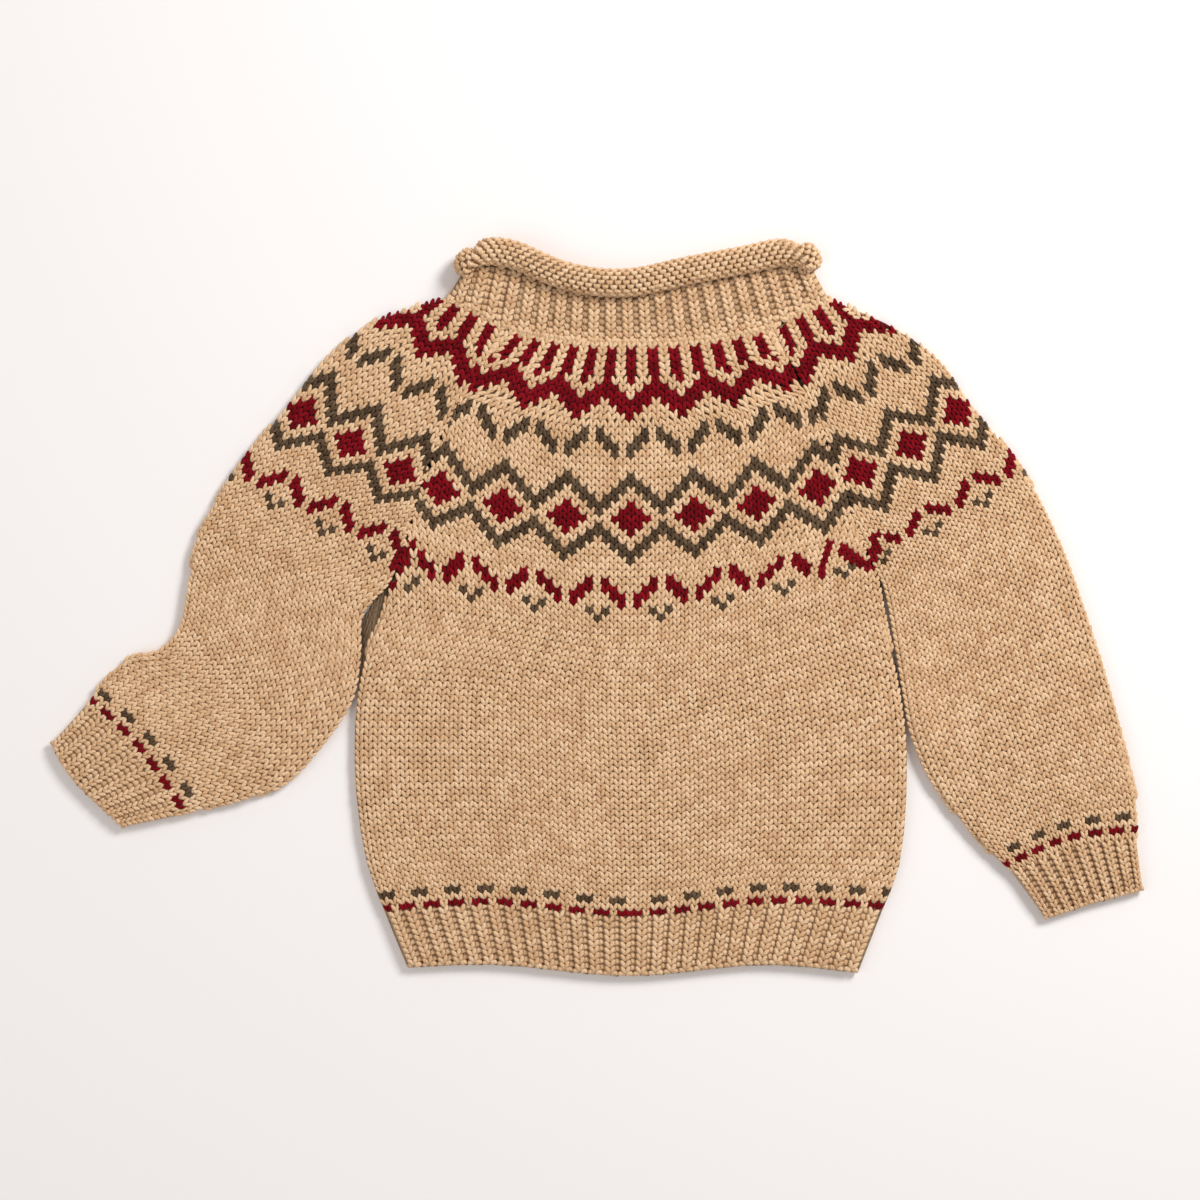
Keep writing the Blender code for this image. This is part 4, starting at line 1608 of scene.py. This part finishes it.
    def parts(self) -> list[Part]:
        """Places the stitches of the ribs, the rolled edge and the chain under the ribs.

        Returns:
            The parts.
        """
        knit, purl = self.rib_places()
        crest, hollow, roll, chain = 0.0, 0.9, 0.5, 0.2  # mm that the stitches are sunk
        return [
            ("rib_stitches", StitchKind.KNIT, crest, knit),
            ("rib_hollows", StitchKind.PURL, hollow, purl),
            ("roll_bumps", StitchKind.PURL, roll, self.roll_places()),
            ("linking_chain", StitchKind.PURL, chain, self.linking_places()),
        ]

    def on_surface(self, height: float, facing: float) -> bool:
        """Says whether cloth at this height is on the surface, whichever way it looks."""
        return height < self.surface_reach

    def knitting_at(self) -> Callable[[float, float], tuple[float, float]]:
        """Maps the plan back onto the band's knitting, which has no pattern.

        Returns:
            A function from a place to its phase and course.
        """

        def knitting(x: float, y: float) -> tuple[float, float]:
            """Reads the knitting at a place.

            Args:
                x: the place's x.
                y: the place's y.

            Returns:
                Its phase and course.
            """
            along = self.neckline.nearest((x, y))
            rows = math.dist((x, y), self.neckline.at(along)) / self.course
            return along / self.repeat, self.foot_course - rows

        return knitting


# ---------------------------------------------------------------- the studio


@dataclass(frozen=True)
class SoftLight:
    """A square area light that looks at the jumper."""

    name: str
    place: tuple[float, float, float]  # in metres, as its size
    size: float
    watts: float

    def build(self) -> None:
        """Puts the light in the scene."""
        light = bpy.data.lights.new(self.name, "AREA")
        light.size, light.energy = self.size, self.watts
        lamp = put_in_scene(self.name, light)
        lamp.location = self.place
        lamp.rotation_euler = (-Vector(self.place)).to_track_quat("-Z", "Y").to_euler()


@dataclass
class Studio:
    """A pale surface, soft light from the upper right and a camera straight above."""

    centre: Plan = (1.57, 3.9)
    view_width: float = 696.0
    lens: float = 85.0
    sensor: float = 36.0
    floor_half: float = 3.0  # metres, as its level
    floor_level: float = -0.0004
    floor_colour: str = "#f5f2f1"
    sky_colour: str = "#fbf6f4"
    sky_strength: float = 0.45
    lights: tuple[SoftLight, ...] = (
        SoftLight("key", (1.0, 1.0, 1.3), 0.6, 29.0),
        SoftLight("fill", (-1.2, -0.5, 1.6), 1.6, 9.0),
    )

    def build(self) -> None:
        """Builds the floor, the lights and the camera."""
        mesh = bpy.data.meshes.new("floor")
        corners = ((-1, -1), (1, -1), (1, 1), (-1, 1))
        places = [(x * self.floor_half, y * self.floor_half, self.floor_level) for x, y in corners]
        mesh.from_pydata(places, [], [(0, 1, 2, 3)])
        floor = put_in_scene("floor", mesh)
        # Matt painted board: pale, rough and almost without gloss, so shadows on it are soft.
        material, tree = empty_material("matt painted board")
        colour = linear(self.floor_colour)
        shader = add(
            tree, "ShaderNodeBsdfPrincipled",
            {"Base Color": colour, "Roughness": 0.95, "Specular IOR Level": 0.1},
        )
        add(tree, "ShaderNodeOutputMaterial", {"Surface": shader})
        mesh.materials.append(material)

        for light in self.lights:
            light.build()
        world = bpy.data.worlds.new("soft room")
        world.use_nodes = True
        sky = world.node_tree.nodes["Background"]
        sky.inputs["Color"].default_value = linear(self.sky_colour)
        sky.inputs["Strength"].default_value = self.sky_strength
        bpy.context.scene.world = world
        bpy.context.scene.view_settings.view_transform = "Standard"

        camera = bpy.data.cameras.new("camera")
        camera.lens, camera.sensor_width = self.lens, self.sensor
        camera.dof.use_dof = False
        height = self.view_width * self.lens / self.sensor
        eye = put_in_scene("camera", camera)
        eye.location = Vector((*self.centre, height)) * MM
        bpy.context.scene.camera = eye


def main() -> None:
    """Builds the jumper's pieces in order."""
    logging.basicConfig(level=logging.INFO, format="%(name)s: %(message)s")
    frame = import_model()
    Studio().build()
    yarns = {yarn: finish.material() for yarn, finish in zip(Yarn, CLOTH.yarns)}
    cloth = CLOTH.material()
    for piece in (Back.knitted(), Front.knitted(), left_sleeve(), right_sleeve(), Neckband()):
        piece.build(frame, cloth, yarns)
        log.info("built the %s", piece.name)


if __name__ == "__main__":
    main()
